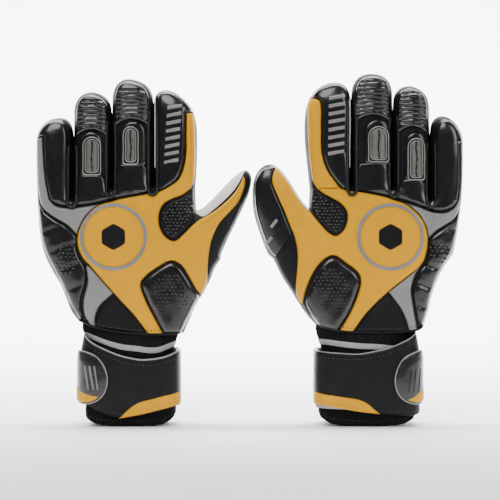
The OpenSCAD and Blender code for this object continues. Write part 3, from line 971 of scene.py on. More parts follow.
def back_lift(g, base=0.0):
    """Lift onto the back of glove g, above the shell by base."""
    def lift(p, h):
        return np.stack([p[:, 0], -(BODIES[g].back(p) + base + h), p[:, 1]], 1)
    return lift


def back_floor(g):
    """Inner face of the back shell."""
    def floor(p):
        return np.stack([p[:, 0], -np.maximum(BODIES[g].back(p) - SHELL_T, 0.5), p[:, 1]], 1)
    return floor


def palm_lift(g, base=0.0):
    def lift(p, h):
        return np.stack([p[:, 0], BODIES[g].palm(p) + base + h, p[:, 1]], 1)
    return lift


def palm_floor(g):
    def floor(p):
        return np.stack([p[:, 0], np.maximum(BODIES[g].palm(p) - SHELL_T, 0.5), p[:, 1]], 1)
    return floor


def wobble(p, size, amount, seed=0.0):
    """Soft dents: a sum of crossing waves, the same on every run."""
    x, z = p[:, 0] / size + seed, p[:, 1] / size - seed
    return amount * (np.sin(2.1 * x + 1.3 * z) * np.sin(1.7 * z - 0.6 * x + 1.0)
                     + 0.5 * np.sin(4.3 * x - 2.9 * z + 0.7))


def padded(*pieces):
    return pieces


# The thumb's back shell stops short of the index side, where the latex rolls round the edge
LATEX_ROLL = ([(45.9, 174.6), (40.5, 171.9), (31.5, 177.6), (21.5, 186.4), (14.2, 194.4),
               (8.6, 204), (6.6, 209)],
              [(46.6, 176.4), (41, 180.6), (35, 189.3), (29.3, 198.8), (24.8, 205.5), (19.5, 211.5),
               (17, 214.3)])
GUSSET = [(-1.2, -2.6), (-0.2, -3.0), (0.3, -2.2), (0.5, 0.0), (0.3, 1.8), (-0.2, 2.5), (-1.2, 2.1)]


def thumb_back_loop(g):
    """Outline of the thumb's back shell: the outer side, and the edge of the latex roll."""
    run = thumb_run(g)
    end = np.argmin(np.linalg.norm(run - np.array(LATEX_ROLL[g][-1]), axis=1))
    roll = catmull(LATEX_ROLL[g], 1.4)[::-1]
    return np.vstack([run[:end], roll, [thumb_seam(g)[1]]])


def build_shells(g):
    back = dict(thick=0, edge=0, step=2.0, floor=back_floor(g))
    palm = dict(thick=0, edge=0, step=2.4, floor=palm_floor(g))
    side = SIDES[g]
    steps = [((0, CUT_LOW[f]), UP) for f in range(4)] + [thumb_cuts(g)[0]]
    hand = panel("backhand", g, hand_loop(g), back_lift(g), "black", "hand", cuts=steps, **back)
    foam_palm = panel("palm_foam", g, hand_loop(g), palm_lift(g), "latex", "hand", cuts=steps, **palm)
    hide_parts(f"{side}_backhand")
    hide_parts(f"{side}_palm_foam")
    padded(hand, foam_palm)
    for f, finger in enumerate(FINGERS):
        loop = finger_loop(g, f)
        backs = finger_panel(f"{finger}_back", g, f, loop, back_lift(g), "black", **back)
        palms = finger_panel(f"{finger}_palm", g, f, loop, palm_lift(g), "latex", **palm)
        for end, piece in zip(("lower", "upper"), backs):
            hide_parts(f"{side}_{finger}_{end}")
        padded(*backs, *palms)
        finger_line(band, f"{finger}_gusset", g, f, [finger_run(g, f)], GUSSET, "mesh")
    backs = thumb_panel("thumb_back", g, thumb_back_loop(g), back_lift(g), "black", **back)
    palms = thumb_panel("thumb_palm", g, thumb_run(g), palm_lift(g), "latex", **palm)
    for end, piece in zip(("lower", "upper"), backs):
        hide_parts(f"{side}_thumb_{end}")
    padded(*backs, *palms)
    run = thumb_run(g)
    end = np.argmin(np.linalg.norm(run - np.array(LATEX_ROLL[g][-1]), axis=1))
    rolled = np.vstack([run[end - 1:], catmull(LATEX_ROLL[g], 1.4)])
    padded(*thumb_panel("thumb_roll", g, rolled, back_lift(g, -0.5), "latex", **back))
    thumb_line(band, "thumb_gusset", g, [run[:end + 1]], GUSSET, "mesh")
    thumb_line(band, "thumb_roll_edge", g, [run[end:]], GUSSET, "latex")
    index_root = [THUMB_FORK[g], finger_run(g, 0)[0]]
    sides = band("hand_gusset", g, [thumb_side_run(g), index_root, outer_run(g)], GUSSET, "mesh",
                 "hand")
    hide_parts(f"{side}_hand_gussets")


# ---------------------------------------------------------------- overlays on the back of the hand
BADGE = (113.5, 155.0)
RING_R = 27.5


def star_loop(g):
    """The four-armed yellow overlay, below the finger cut and up to the thumb's seam."""
    if g == 0:
        return [(50.3, 195, 1), (57.1, 189.6), (66.4, 186), (73.6, 181), (76.6, 172.3), (75.5, 162),
                (70.5, 154.4), (63.5, 151.6), (56, 157.4), (50, 163.5), (*seam_point(g, 169.3), 1),
                (*seam_point(g, 151), 1), (34.9, 145), (36.3, 133), (36.9, 122), (37.5, 114),
                (41.5, 107.5, 1), (45.5, 111.5), (50.7, 120.8), (58, 132), (65.7, 135.8),
                (75, 132), (88, 122.3), (91.6, 116.5), (88, 104), (80, 88), (73.2, 75.4, 1),
                (85, 75.2, 1), (96, 90), (108.6, 103.7), (120, 116.5), (132.2, 130.5),
                (139.5, 139), (142.9, 148), (142.5, 158), (138.5, 168), (131, 177),
                (124.5, 181.5, 1), (108.6, 185.9), (87.1, 189.9), (76, 192.4), (70, 195, 1)]
    return [(53.5, 194.9, 1), (58.5, 190.8), (65.4, 187), (73.5, 182), (78.2, 175), (78, 167),
            (74.3, 159.4), (68.7, 155.8), (62.6, 158.6), (54.5, 167.5), (*seam_point(g, 176.6), 1),
            (*seam_point(g, 158.8), 1), (35, 155.2), (37, 146), (37.6, 137.8), (36.6, 122),
            (36.1, 111.8), (38, 104), (41.5, 99.8, 1), (43.6, 110), (49.1, 123.8), (56, 134),
            (63.2, 139.4), (68, 139.8), (77, 134), (87.5, 125.2), (89.5, 118.5), (87, 107.5),
            (80.6, 92.2), (72.5, 79), (71.2, 77.6, 1), (82.6, 77, 1), (93.6, 92.4), (111, 109.6),
            (126, 121.5), (139, 132.5), (143, 142), (144.3, 152), (142.5, 163), (137, 172.5),
            (129.5, 179.5), (124.5, 182.6, 1), (111, 187.3), (89.3, 191.7), (78, 193), (72.2, 195, 1)]


def thumb_arm(g):
    """The overlay's arm on the thumb, from the thumb's seam outwards."""
    if g == 0:
        return [(*seam_point(g, 169.3), 1), (40.4, 170.7), (31.4, 175.9), (22, 183.4), (14.2, 191.6),
                (8.6, 201), (7.2, 205.6, 1), (5.8, 200.6), (8, 191.5), (12, 183), (18.9, 175.2),
                (26.4, 167), (31.2, 158), (*seam_point(g, 151), 1)]
    return [(*seam_point(g, 176.6), 1), (42.5, 181), (37.4, 188), (30.2, 200), (24.5, 208),
            (20.6, 212.2, 1), (18.6, 210), (16.6, 200.8), (20.5, 190), (26.3, 176.9), (30.4, 166.5),
            (*seam_point(g, 158.8), 1)]


def index_arm(g):
    """The overlay's arm on the index finger, from its cut upwards."""
    if g == 0:
        return [(50.3, 195, 1), (47.6, 203), (46.8, 212), (46.6, 228), (47.4, 250), (47.9, 257, 1),
                (53.7, 257, 1), (53.9, 240), (54, 225), (55.8, 212.5), (60.4, 202), (70, 195, 1)]
    return [(53.5, 194.9, 1), (50.2, 201), (48.4, 211), (46.6, 228), (45.7, 248), (46, 266),
            (47.2, 268.7, 1), (51.5, 268.9), (55.4, 266.8), (56.6, 262), (56.6, 245), (57.2, 224),
            (61.2, 210.6), (68.4, 200), (72.2, 195, 1)]


GREY_FLANK = (
    [(166.5, 185.5, 1), (174.6, 185.5, 1), (172.4, 179.3), (162.2, 171.2), (151.5, 164.8),
     (143.7, 157, 1), (142.9, 160.2), (139.2, 168.3), (131.7, 177.3), (125.3, 181.9, 1), (134, 180.2),
     (145, 178.9), (155, 178.8), (161.5, 180.5)],
    [(170, 185.5, 1), (172.9, 185.5, 1), (170.7, 179), (167, 171), (158.7, 165), (151.5, 160.5),
     (145, 154.2, 1), (143.1, 163.2), (137.6, 172.8), (130.1, 179.9), (125.4, 182.7, 1), (134, 180.4),
     (144, 176.6), (152, 174.6), (160, 175), (166.6, 179.2)])
GREY_ARM = (
    [(166.5, 185.5, 1), (168.3, 193), (170.6, 208), (171.8, 225), (172.4, 236.6, 1),
     (177.4, 236.6, 1), (177.7, 225), (177.2, 210), (176.2, 196), (174.6, 185.5, 1)],
    [(170, 185.5, 1), (171.3, 195), (171.8, 210), (171.8, 222), (171.6, 232, 1), (174, 232, 1),
     (174.2, 222), (174.1, 205), (173.5, 195), (172.9, 185.5, 1)])
GREY_LEG = (
    [(135.4, 131.4), (134.6, 118.5), (138.4, 101.5), (137.2, 90.8), (133.4, 84), (131.6, 82.1, 1),
     (128.6, 81.1, 1), (129.2, 87), (126, 97.2), (114.2, 109, 1), (120.8, 116.2), (128, 124.4)],
    [(134.5, 125.6), (130.4, 112), (132.4, 96), (135.6, 79, 1), (129, 77.6, 1), (127.6, 84),
     (123.4, 94.4), (112.2, 109.8, 1), (126.4, 121), (138.6, 131.4, 1)])
HEEL = ([(86.8, 75.4, 1), (98, 90.4), (106.5, 99.6), (113.6, 104.6), (119, 101.6), (125, 95.6),
         (127.8, 87), (127.4, 80.8, 1)],
        [(84.4, 77.1, 1), (95, 91.6), (104, 100.6), (112.2, 106.6), (117.4, 101), (122.4, 93),
         (126.4, 84), (127.6, 77.4, 1)])
KNUCKLE_LOW = (
    [(165.5, 185.5), (161, 182.4), (155, 180.8), (145, 180.9), (134, 182), (123.6, 184), (108.6, 187.6),
     (87.1, 191.6), (76, 193.8), (71.6, 195)],
    [(169.2, 185.5), (166.2, 181), (158.7, 177), (150, 176.8), (143.5, 178.8), (132.7, 182.8),
     (111, 189.1), (89.3, 193.2), (78, 194.5), (73.8, 195)])
PAD_ULNAR = (
    [(143.8, 154.5), (151, 163), (161.8, 169.7), (171, 176.5), (174.8, 182.5), (175.4, 176),
     (174.6, 165), (172.4, 150), (167.4, 137), (159.4, 122), (152.4, 107), (146, 94), (140.4, 86.4),
     (139.4, 91.8), (141, 101.5), (136.8, 118.7), (136.8, 129), (142, 139), (144.4, 148)],
    [(146, 152.6), (152, 159), (160, 164), (167.6, 169.5), (170, 174), (169.8, 165), (167.8, 154),
     (164.8, 143), (157.6, 131.8), (151.2, 118), (147, 104.6), (144.6, 94), (139.4, 82),
     (137.4, 84), (134.2, 97), (132.4, 111.6), (136.4, 125.6), (142.6, 134), (145.6, 143)])
PAD_WEB = (
    [(75.3, 171.5), (73, 179), (66.5, 184.4), (57.5, 188), (51.4, 193), (48.6, 194.4), (47.7, 186),
     (47.5, 178), (47.7, 171), (51.4, 164.2), (56.9, 159.2), (63.6, 153.4), (69.4, 155.4), (74, 162.2)],
    [(76.9, 172), (75, 178.6), (70, 183), (62.5, 187.2), (56, 191.4), (50, 195), (48.9, 190),
     (48.3, 184), (48.3, 178.2), (52, 171.6), (58, 164.6), (64.2, 159.6), (69, 157.4), (73, 160.2),
     (76, 166)])
PAD_PENTAGON = (
    [(43.6, 104.4), (46.5, 110.8), (51.7, 120.1), (59.2, 130.4), (65.7, 134.4), (73.6, 131.2),
     (87, 121), (90.2, 115.8), (86.2, 104), (79, 89.5), (72, 75.6, 1), (58.5, 76.2, 1), (53, 87), (47.5, 97)],
    [(44, 101.6), (46, 110.5), (50.3, 121), (56.8, 132), (63.4, 137.8), (67.6, 138.4), (76.2, 132.8),
     (86.6, 124.2), (88.2, 118.2), (85.6, 108.2), (79.2, 92.8), (71.2, 80), (69.8, 77.8, 1),
     (56, 81.4, 1), (50, 89)])


def quilt(p, origin, direction, pitch, depth, width=1.5):
    """Sewn channels: grooves a pitch apart, square to a direction."""
    q = (p - np.array(origin, float)) @ unit(direction) / pitch
    away = np.abs(q - np.round(q)) * pitch
    return -depth * np.exp(-(away / width) ** 2)


def build_overlays(g):
    side = SIDES[g]
    lift = back_lift(g)
    seam = thumb_cuts(g)[0]
    wave = lambda p, d: wobble(p, 9.0, 0.10, g) * np.minimum(d / 5, 1)
    hand = panel("star_overlay", g, outline(star_loop(g)), lift, "yellow", "hand", OVERLAY_T, 2.2,
                 1.7, cuts=[((0, CUT_LOW[0]), UP), seam], relief=wave)
    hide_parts(f"{side}_star_overlay")
    arms = thumb_panel("thumb_arm", g, outline(thumb_arm(g)), lift, "yellow", thick=OVERLAY_T,
                       edge=2.2, step=1.6, relief=wave)
    arms += finger_panel("index_arm", g, 0, outline(index_arm(g)), lift, "yellow",
                         thick=OVERLAY_T, edge=2.0, step=1.6)
    flank = panel("flank_overlay", g, outline(GREY_FLANK[g]), lift, "grey", "hand", OVERLAY_T, 1.8,
                  1.6, cuts=[((0, CUT_LOW[3]), UP)])
    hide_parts(f"{side}_flank_overlay")
    arms += finger_panel("little_arm", g, 3, outline(GREY_ARM[g]), lift, "grey", thick=OVERLAY_T,
                         edge=1.2 if g else 1.8, step=1.5)
    leg = panel("flank_leg", g, outline(GREY_LEG[g]), lift, "grey", "hand", OVERLAY_T, 1.8, 1.6)
    heel = panel("heel_panel", g, outline(HEEL[g]), lift, "black", "hand", 1.8, 2.2, 1.8)
    padded(hand, *arms, flank, leg, heel)
    build_knuckles(g)
    build_pads(g)
    build_badge(g)
    build_hem(g)


def knuckle_loop(g):
    """Glossy panel across the finger roots, with its top along the low cuts."""
    s, first = SPLITS[g], KNUCKLE_LOW[g][-1][0]
    top = [(first, CUT_LOW[0]), (s[0], CUT_LOW[0]), (s[0], CUT_LOW[1]), (s[1], CUT_LOW[1]),
           (s[1], CUT_LOW[2]), (s[2] - 0.6, CUT_LOW[2]), (s[2] - 0.6, CUT_LOW[3] + 1),
           (s[2], CUT_LOW[3]), (KNUCKLE_LOW[g][0][0], CUT_LOW[3])]
    dense = [resample([a, b], 1.8)[:-1] for a, b in zip(top, top[1:])]
    return np.vstack(dense + [catmull(KNUCKLE_LOW[g], 1.6)[:-1]])


def build_knuckles(g):
    cuts = [((0, z), UP) for z in CUT_LOW]
    cuts += [((SPLITS[g][0], 0), (1, 0)), ((SPLITS[g][1], 0), (1, 0)), ((SPLITS[g][2] - 0.6, 0), (1, 0))]

    def relief(p, d):
        folds = -0.9 * np.exp(-((p[:, 0] - (98 if g == 0 else 101)) / 2.2) ** 2)
        folds -= 0.7 * np.exp(-((p[:, 0] - 131) / 3.0) ** 2)
        return (folds + wobble(p, 11.0, 0.16, 2 + g)) * np.minimum(d / 5, 1)

    knuckle = panel("knuckle_panel", g, knuckle_loop(g), back_lift(g), "gloss", "hand", 3.0, 3.0,
                    1.6, cuts=cuts, relief=relief)
    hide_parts(f"{SIDES[g]}_knuckle_panel")
    padded(knuckle)


def hex_field(low, high, pitch, keep):
    """Centres of an even field of bumps, where keep says so."""
    out = []
    rows = int((high[1] - low[1]) / (pitch * 0.87)) + 1
    for i in range(rows):
        for j in range(int((high[0] - low[0]) / pitch) + 1):
            u = low[0] + pitch * (j + 0.5 * (i % 2)) + 0.35 * math.sin(7.0 * i + 3.0 * j)
            z = low[1] + 0.87 * pitch * i + 0.3 * math.sin(5.0 * j + 2.0 * i)
            out.append((u, z))
    out = np.array(out)
    return out[keep(out)]


def build_pads(g):
    side = SIDES[g]
    lift = back_lift(g)

    def ulnar_relief(p, d):
        folds = quilt(p, (150, 112), (0.35, 1), 17.0, 0.5 + 0.4 * g, 2.2)
        return (folds + wobble(p, 8.0, 0.12 + 0.16 * g, 5 + g)) * np.minimum(d / 4, 1)

    ulnar = panel("grip_pads", g, outline(PAD_ULNAR[g]), lift, "gloss", "hand", 2.8, 3.2, 1.5,
                  relief=ulnar_relief)
    web = panel("web_pad", g, outline(PAD_WEB[g]), lift, "black", "hand", 2.4, 2.6, 1.5)
    pentagon = panel("thumb_pad", g, outline(PAD_PENTAGON[g]), lift, "gloss", "hand", 3.2, 4.5, 1.6,
                     relief=lambda p, d: wobble(p, 9.0, 0.1, 8 + g))
    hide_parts(f"{side}_grip_pads")
    padded(ulnar, web, pentagon)
    centre, reach = ((66, 108), (14.5, 18)) if g == 0 else ((64.5, 111), (15, 19))
    oval = lambda c: (((c - np.array(centre)) / np.array(reach)) ** 2).sum(1) < 1
    spots = hex_field(np.array(centre) - reach, np.array(centre) + reach, 3.5, oval)
    domes("thumb_pad_dots", g, spots, back_lift(g, 3.1), "gloss", "hand", 1.3, 1.15)
    mid, reach = ((152, 137), (8.5, 14)) if g == 0 else ((153.5, 142), (9, 11))
    oval = lambda c: (((c - np.array(mid)) / np.array(reach)) ** 2).sum(1) < 1
    spots = hex_field(np.array(mid) - reach, np.array(mid) + reach, 3.6, oval)
    domes("grip_pad_dots", g, spots, back_lift(g, 2.7), "gloss", "hand", 1.45, 1.4, 0.75)
    web_loop = outline(PAD_WEB[g])
    deep = lambda c: inside(c, web_loop) & (segments_distance(c, web_loop, np.roll(web_loop, -1, 0)) > 2.6)
    spots = hex_field(web_loop.min(0), web_loop.max(0), 3.1, deep)
    domes("web_pad_dots", g, spots, back_lift(g, 2.3), "gloss", "hand", 1.45, 1.0, 0.6)


def circle(centre, r, count=96):
    a = 2 * math.pi * np.arange(count) / count
    return np.array(centre) + r * np.stack([np.cos(a), np.sin(a)], 1)


def build_badge(g):
    side = SIDES[g]
    lift = back_lift(g, OVERLAY_T)
    profile = [(-1.4, -0.3), (-1.3, 0.45), (-0.6, 0.75), (0.6, 0.75), (1.3, 0.45), (1.4, -0.3)]
    ring = ribbon("badge_ring", g, [circle(BADGE, RING_R - 1.3)], profile, lift, "bar", "hand", True)
    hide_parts(f"{side}_badge_ring")
    panel("badge_disc", g, circle(BADGE, RING_R - 3.0), lift, "yellow", "hand", 0.7, 1.2, 1.7,
          relief=lambda p, d: wobble(p, 8.0, 0.05, g))
    corners = [(BADGE[0] + 11 * math.cos(a), BADGE[1] + 11 * math.sin(a))
               for a in (math.radians(60 * k + 30) for k in range(6))]
    rounded = []
    for k in range(6):
        a, b, c = (np.array(corners[(k + i) % 6]) for i in (-1, 0, 1))
        rounded += [tuple(b + 0.14 * (a - b)), tuple(b + 0.03 * (a + c - 2 * b)), tuple(b + 0.14 * (c - b))]
    emblem = panel("badge_emblem", g, outline(rounded, 0.9), back_lift(g, OVERLAY_T + 0.6), "black",
                   "hand", 0.7, 0.9, 1.2)
    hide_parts(f"{side}_badge_emblem")


def build_hem(g):
    """Turned hem along the lower edge of the back, with its stitches."""
    hem = catmull([p[:2] for p in HEM[g]], 1.2)[::-1][2:-2]
    ribbon("hem_cord", g, [hem + (0, 0.4)], cord_profile(0.9, 1.2), back_lift(g), "black", "hand")
    stitches_on("hem_stitches", g, [hem + (0, 3.4)], back_lift(g), 2.1, "black_thread", "hand")


# ---------------------------------------------------------------- fingers
INDEX_PANEL = (
    [(71.6, 195, 1), (62.6, 201.5), (57.4, 212), (55.2, 225), (54.7, 240), (54.6, 252), (54.4, 257.6),
     (48.6, 258.4, 1), (52, 265), (58.4, 271), (66, 274.6), (73, 275), (77, 271.5), (77.8, 262), (77.5, 240),
     (77.4, 215), (78, 195, 1)],
    [(73.8, 195, 1), (69.5, 199.8), (62.2, 210.8), (58.2, 224), (57.6, 245), (57.5, 262),
     (55.6, 268), (48.2, 269.8, 1), (53, 276), (61.5, 280.8), (71, 281.8), (76.5, 277.8), (78.2, 268),
     (78.2, 240), (78.4, 215), (79, 195, 1)])
LITTLE_PANEL = (
    [(151.2, 185.5, 1), (151.4, 205), (151.3, 235), (152.8, 245), (157.4, 251), (165, 250.8),
     (171.6, 247), (176.6, 239.6), (176.9, 237.6, 1), (171.6, 237.4, 1), (171, 225), (169.8, 208),
     (167.6, 193), (165.6, 185.5, 1)],
    [(150.8, 185.5, 1), (151, 205), (151, 235), (152.8, 246.4), (157.4, 252), (163.4, 250.6), (169.4, 244.4),
     (173.4, 235.8), (173.8, 232.8, 1), (171, 232.8, 1), (171.1, 222), (171.1, 210), (170.6, 195),
     (169.2, 185.5, 1)])
MIDDLE_U = ([98.8, 132.0], [99.4, 131.9])          # middles of the middle and ring fingers
RIB_LOW = ([247.0, 238.5], [250.5, 241.0])         # where the ribbed panels start
RIB_HIGH = ([277.0, 268.5], [284.0, 275.0])        # the last rib
RIB_PITCH = 3.5
RIB_CURVE = 0.008
BAR_T = 0.4
COLLAR = ([(86, 108.6, 212, 250.5), (122.2, 141.6, 203, 242)],
          [(92, 115, 213, 252), (125, 144.5, 199.5, 241.5)])
WINDOW = ([(93.4, 105.5, 214.6, 245.3), (124.2, 138.4, 206, 236.8)],
          [(95.6, 112.2, 216.6, 245.4), (128, 141.6, 201.8, 235.7)])
BARS_Z = (214.0, 265.0), (221.0, 273.0)
BARS_U = (58.6, 70.8), (62.6, 76.2)
BAR_COUNT = 8


def arch(box, inset=0.0, foot=2.6):
    """Upright outline with a round top and a nearly square foot."""
    u0, u1, z0, z1 = box[0] + inset, box[1] - inset, box[2] + inset, box[3] - inset
    r, mid = (u1 - u0) / 2, (u0 + u1) / 2
    top = [(mid - r * math.cos(a), z1 - r + r * math.sin(a)) for a in np.linspace(0, math.pi, 9)]
    foot = min(foot, r * 0.8)
    return ([(mid, z0), (u0 + foot, z0 + 0.1), (u0 + 0.25 * foot, z0 + 0.3 * foot), (u0, z0 + foot),
             (u0, (z0 + z1 - r) / 2)] + top
            + [(u1, (z0 + z1 - r) / 2), (u1, z0 + foot), (u1 - 0.25 * foot, z0 + 0.3 * foot),
               (u1 - foot, z0 + 0.1)])


def rib_loop(g, f):
    """Outline of the ribbed panel at the end of the middle or ring finger."""
    run = finger_run(g, f)
    k = f - 1
    low = RIB_LOW[g][k]
    run = run[run[:, 1] > low - 6]
    n = outwards(run, False)
    run = run - 2.4 * n
    a, b = run[0, 0] + 0.4, run[-1, 0] - 0.4
    mid, half = (a + b) / 2, (b - a) / 2
    foot = [(mid + half * t, low + 5.4 * (1 - t * t) - 1) for t in np.linspace(1, -1, 13)]
    run = run[run[:, 1] > low]
    return np.vstack([run, foot])


def build_ribs(g, f):
    k = f - 1
    mid = MIDDLE_U[g][k]

    def relief(p, d):
        q = p[:, 1] + RIB_CURVE * (p[:, 0] - mid) ** 2
        top, low = RIB_HIGH[g][k], RIB_LOW[g][k] + 7.5
        ribs = np.abs(np.sin(math.pi * (q - low) / RIB_PITCH)) ** 0.6 * 1.35 - 1.35
        on = smooth((top + 1 - q) / 2) * smooth((q - low + 1.5) / 2)
        return ribs * on * np.minimum(d / 2, 1)

    return finger_panel(f"{FINGERS[f]}_ribs", g, f, rib_loop(g, f), back_lift(g), "gloss",
                        thick=2.6, edge=2.4, step=0.95, relief=relief)


def build_window(g, f):
    """Raised collar, double piping and the satin insert on the lower half of a finger."""
    k = f - 1
    name = FINGERS[f]
    box = WINDOW[g][k]
    collar = finger_panel(f"{name}_collar", g, f, outline(arch(COLLAR[g][k], 0, 6.0)), back_lift(g),
                          "gloss", thick=2.6, edge=3.0, step=1.4)
    mid = (box[0] + box[1]) / 2

    def relief(p, d):
        crease = np.exp(-((p[:, 0] - mid - 0.35 * np.sin(p[:, 1] / 3.1)) / 0.7) ** 2)
        return (-1.6 * crease + wobble(p, 3.0, 0.16, g + f)) * np.minimum(d, 1)

    inserts = finger_panel(f"{name}_insert", g, f, outline(arch(box, 2.4, 1.6), 0.8), back_lift(g, 2.0),
                           "satin", thick=1.7, edge=2.2, step=0.7, relief=relief, sink=1.2)
    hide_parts(f"{SIDES[g]}_{name}_window")
    padded(*collar, *inserts)
    for number, (inset, radius) in enumerate(((0.0, 0.45), (1.9, 0.4))):
        loop = outline(arch(box, inset, 2.2), 0.9)
        loop = np.vstack([loop, loop[:1]])
        finger_line(ribbon, f"{name}_piping_{number}", g, f, [loop], cord_profile(radius, 2.75),
                    back_lift(g), "silver")


def base_loop(g, f):
    """Smooth panel between the knuckle panel and the collar of a finger."""
    left, right = split_edge(g, f, 0) + 2.6, split_edge(g, f, 1) - 2.6
    low, foot = CUT_LOW[f], COLLAR[g][f - 1][2] + 3.0
    return [(left, low, 1), (left + 0.4, low + 9), (left + 1.5, foot - 3), (left + 4, foot, 1),
            ((left + right) / 2, foot + 0.6), (right - 4, foot, 1), (right - 1.5, foot - 3),
            (right - 0.4, low + 9), (right, low, 1)]


BEAD_R = 0.42


def slot_lines(g, k):
    """Beaded seams either side of the slot between fingers k and k + 1, and their join."""
    u = SPLITS[g][k]
    high = min(TIPS[g][k][-1][1], TIPS[g][k + 1][0][1]) - 8
    side = 3.6
    left = [(u - side, CUT_LOW[k]), (u - side, high - 10), (u - side + 0.6, high)]
    right = [(u + side, CUT_LOW[k + 1]), (u + side, high - 10), (u + side - 0.6, high)]
    foot = CROTCH[k] - 7.5
    join_line = [(u - side, CUT_LOW[k]), (u - side + 0.1, foot + 4), (u - 1.9, foot + 0.7), (u, foot),
                 (u + 1.9, foot + 0.7), (u + side - 0.1, foot + 4), (u + side, CUT_LOW[k + 1])]
    return [catmull(line, 1.0) for line in (left, join_line, right)]


def build_slots(g):
    """Sewn seams beside the slots: a folded edge with a beaded thread on it."""
    lift = back_lift(g)
    flap = [(-1.5, -0.4), (-1.3, 0.9), (-0.5, 1.45), (0.5, 1.45), (1.3, 0.9), (1.5, -0.4)]
    for k in range(3):
        left, foot, right = slot_lines(g, k)
        rise = 2.7
        ribbon(f"slot_{k}_foot", g, [foot], [(a, h + rise) for a, h in flap], lift, "black", "hand")
        beads(f"slot_{k}_foot_beads", g, laid([foot], lift, rise + 1.5), BEAD_R, "black_thread", "hand")
        for f, line in ((k, left), (k + 1, right)):
            for end, part in zip(("lower", "upper"), split_run(line, (0, CUT_MID[f]), UP)):
                if not part:
                    continue
                place = (FINGERS[f], end)
                name = f"slot_{k}_{FINGERS[f]}_{end}"
                ribbon(name, g, part, flap, lift, "black", place)
                beads(name + "_beads", g, laid(part, lift, 1.5), BEAD_R, "black_thread", place)


def build_bars(g):
    """Plain slanted bars, in place of lettering, on the index panel."""
    (z0, z1), (u0, u1) = BARS_Z[g], BARS_U[g]
    pitch = (z1 - z0) / BAR_COUNT
    slant = 2.4 if g else -2.4
    for i in range(BAR_COUNT):
        z = z0 + pitch * (i + 0.5)
        drift = (0.9 if g == 0 else -0.3) * (i - BAR_COUNT / 2) * -0.45
        a, b = u0 + drift, u1 + drift
        half = pitch * 0.24
        loop = [(a, z - half - slant / 2, 1), (b, z - half + slant / 2, 1), (b, z + half + slant / 2, 1),
                (a, z + half - slant / 2, 1)]
        finger_panel(f"index_bar_{i}", g, 0, outline(loop, 1.2), back_lift(g, 2.45), "bar",
                     thick=BAR_T, edge=0.5, step=1.4, sink=0.9)


def build_fingers(g):
    lift = back_lift(g)

    def soft(seed):
        return lambda p, d: wobble(p, 10.0, 0.12, seed) * np.minimum(d / 4, 1)

    made = finger_panel("index_panel", g, 0, outline(INDEX_PANEL[g]), lift, "gloss", thick=2.6,
                        edge=2.6, step=1.6, relief=soft(3))
    made += finger_panel("little_panel", g, 3, outline(LITTLE_PANEL[g]), lift, "gloss", thick=2.6,
                         edge=2.6, step=1.6, relief=soft(5))
    for f in (1, 2):
        made += build_ribs(g, f)
        made += finger_panel(f"{FINGERS[f]}_base", g, f, outline(base_loop(g, f)), lift, "gloss",
                             thick=2.6, edge=2.2, step=1.6, relief=soft(f))
        build_window(g, f)
    padded(*made)
    build_slots(g)
    build_bars(g)
    edge_u = 50.2 if g == 0 else 49.6
    fold = catmull([(edge_u + 1.6, 203), (edge_u, 212), (edge_u - 0.2, 232), (edge_u, 252)], 1.0)
    finger_line(stitch_line, "index_arm_stitches", g, 0, [fold], back_lift(g, OVERLAY_T), "dark_thread")
    slot = [(SPLITS[g][0] - 1.5, z) for z in np.linspace(212, 268, 30)]
    finger_line(ribbon, "index_latex_edge", g, 0, [np.array(slot)], cord_profile(0.5, 0.6, 6),
                back_lift(g), "latex")


def stitch_line(name, g, runs, lift, mat, place):
    return stitches_on(name, g, runs, lift, 0.08, mat, place, length=1.9, gap=0.9, radius=0.2)


# ---------------------------------------------------------------- thumb
THUMB_PANEL = (
    [(7.4, 207, 1), (4.4, 204.6), (2.8, 200.4), (4.6, 191.4), (9.2, 180.4), (15.4, 167.4), (21.8, 154.4),
     (27.2, 142.8), (*seam_point(0, 141.6), 1), (*seam_point(0, 149.8), 1), (30.4, 157.6),
     (25.5, 166.4), (18, 174.8), (11.2, 182.6), (7.2, 191), (5, 200.4), (7.2, 206.4)],
    [(19.8, 213.2, 1), (14, 213), (8, 210), (4.2, 204.4), (2.4, 195), (2.4, 185), (3.6, 175), (6.6, 164),
     (10.8, 152), (15, 143), (*seam_point(1, 139.2), 1), (*seam_point(1, 157.6), 1), (29.6, 166),
     (25.4, 176.6), (19.6, 190), (15.6, 200.8), (17.6, 210.4)])


def build_thumb(g):
    if g == 1:
        made = thumb_panel("thumb_side", g, outline(THUMB_PANEL[g]), back_lift(g), "gloss", thick=1.8,
                           edge=2.0, step=1.6)
        padded(*made)
        for i, (u, z) in enumerate(((18.0, 166.0), (13.6, 151.6))):
            wide, tall = unit((0.62, 0.78)), unit((-0.78, 0.62))
            corners = [(-4.2, -1.4), (4.2, -1.4), (4.2, 1.4), (-4.2, 1.4)]
            loop = [(*(np.array((u, z)) + a * wide + b * tall), 1) for a, b in corners]
            thumb_panel(f"thumb_bar_{i}", g, outline(loop, 1.2), back_lift(g, 1.6), "bar", thick=0.5,
                        edge=0.5, step=1.4, sink=0.8)
    line = ([(40, 166.5), (30.4, 172.6), (20.4, 180.6), (12.4, 190.6), (8.6, 199)],
            [(42.6, 174), (35, 183.6), (28, 194.4), (22.4, 204)])[g]
    thumb_line(stitch_line, "thumb_arm_stitches", g, [catmull(line, 1.0)], back_lift(g, OVERLAY_T),
               "dark_thread")


# ---------------------------------------------------------------- wrist
WRIST_U = (100.5, 95.0)
STRAP_W = (82.0, 87.0)
STRAP_D = 46.0
STRAP_R = 14.0
STRAP_T = 4.0
WRIST_Y = 500 * (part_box("left_cuff")[0][1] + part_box("left_cuff")[1][1])


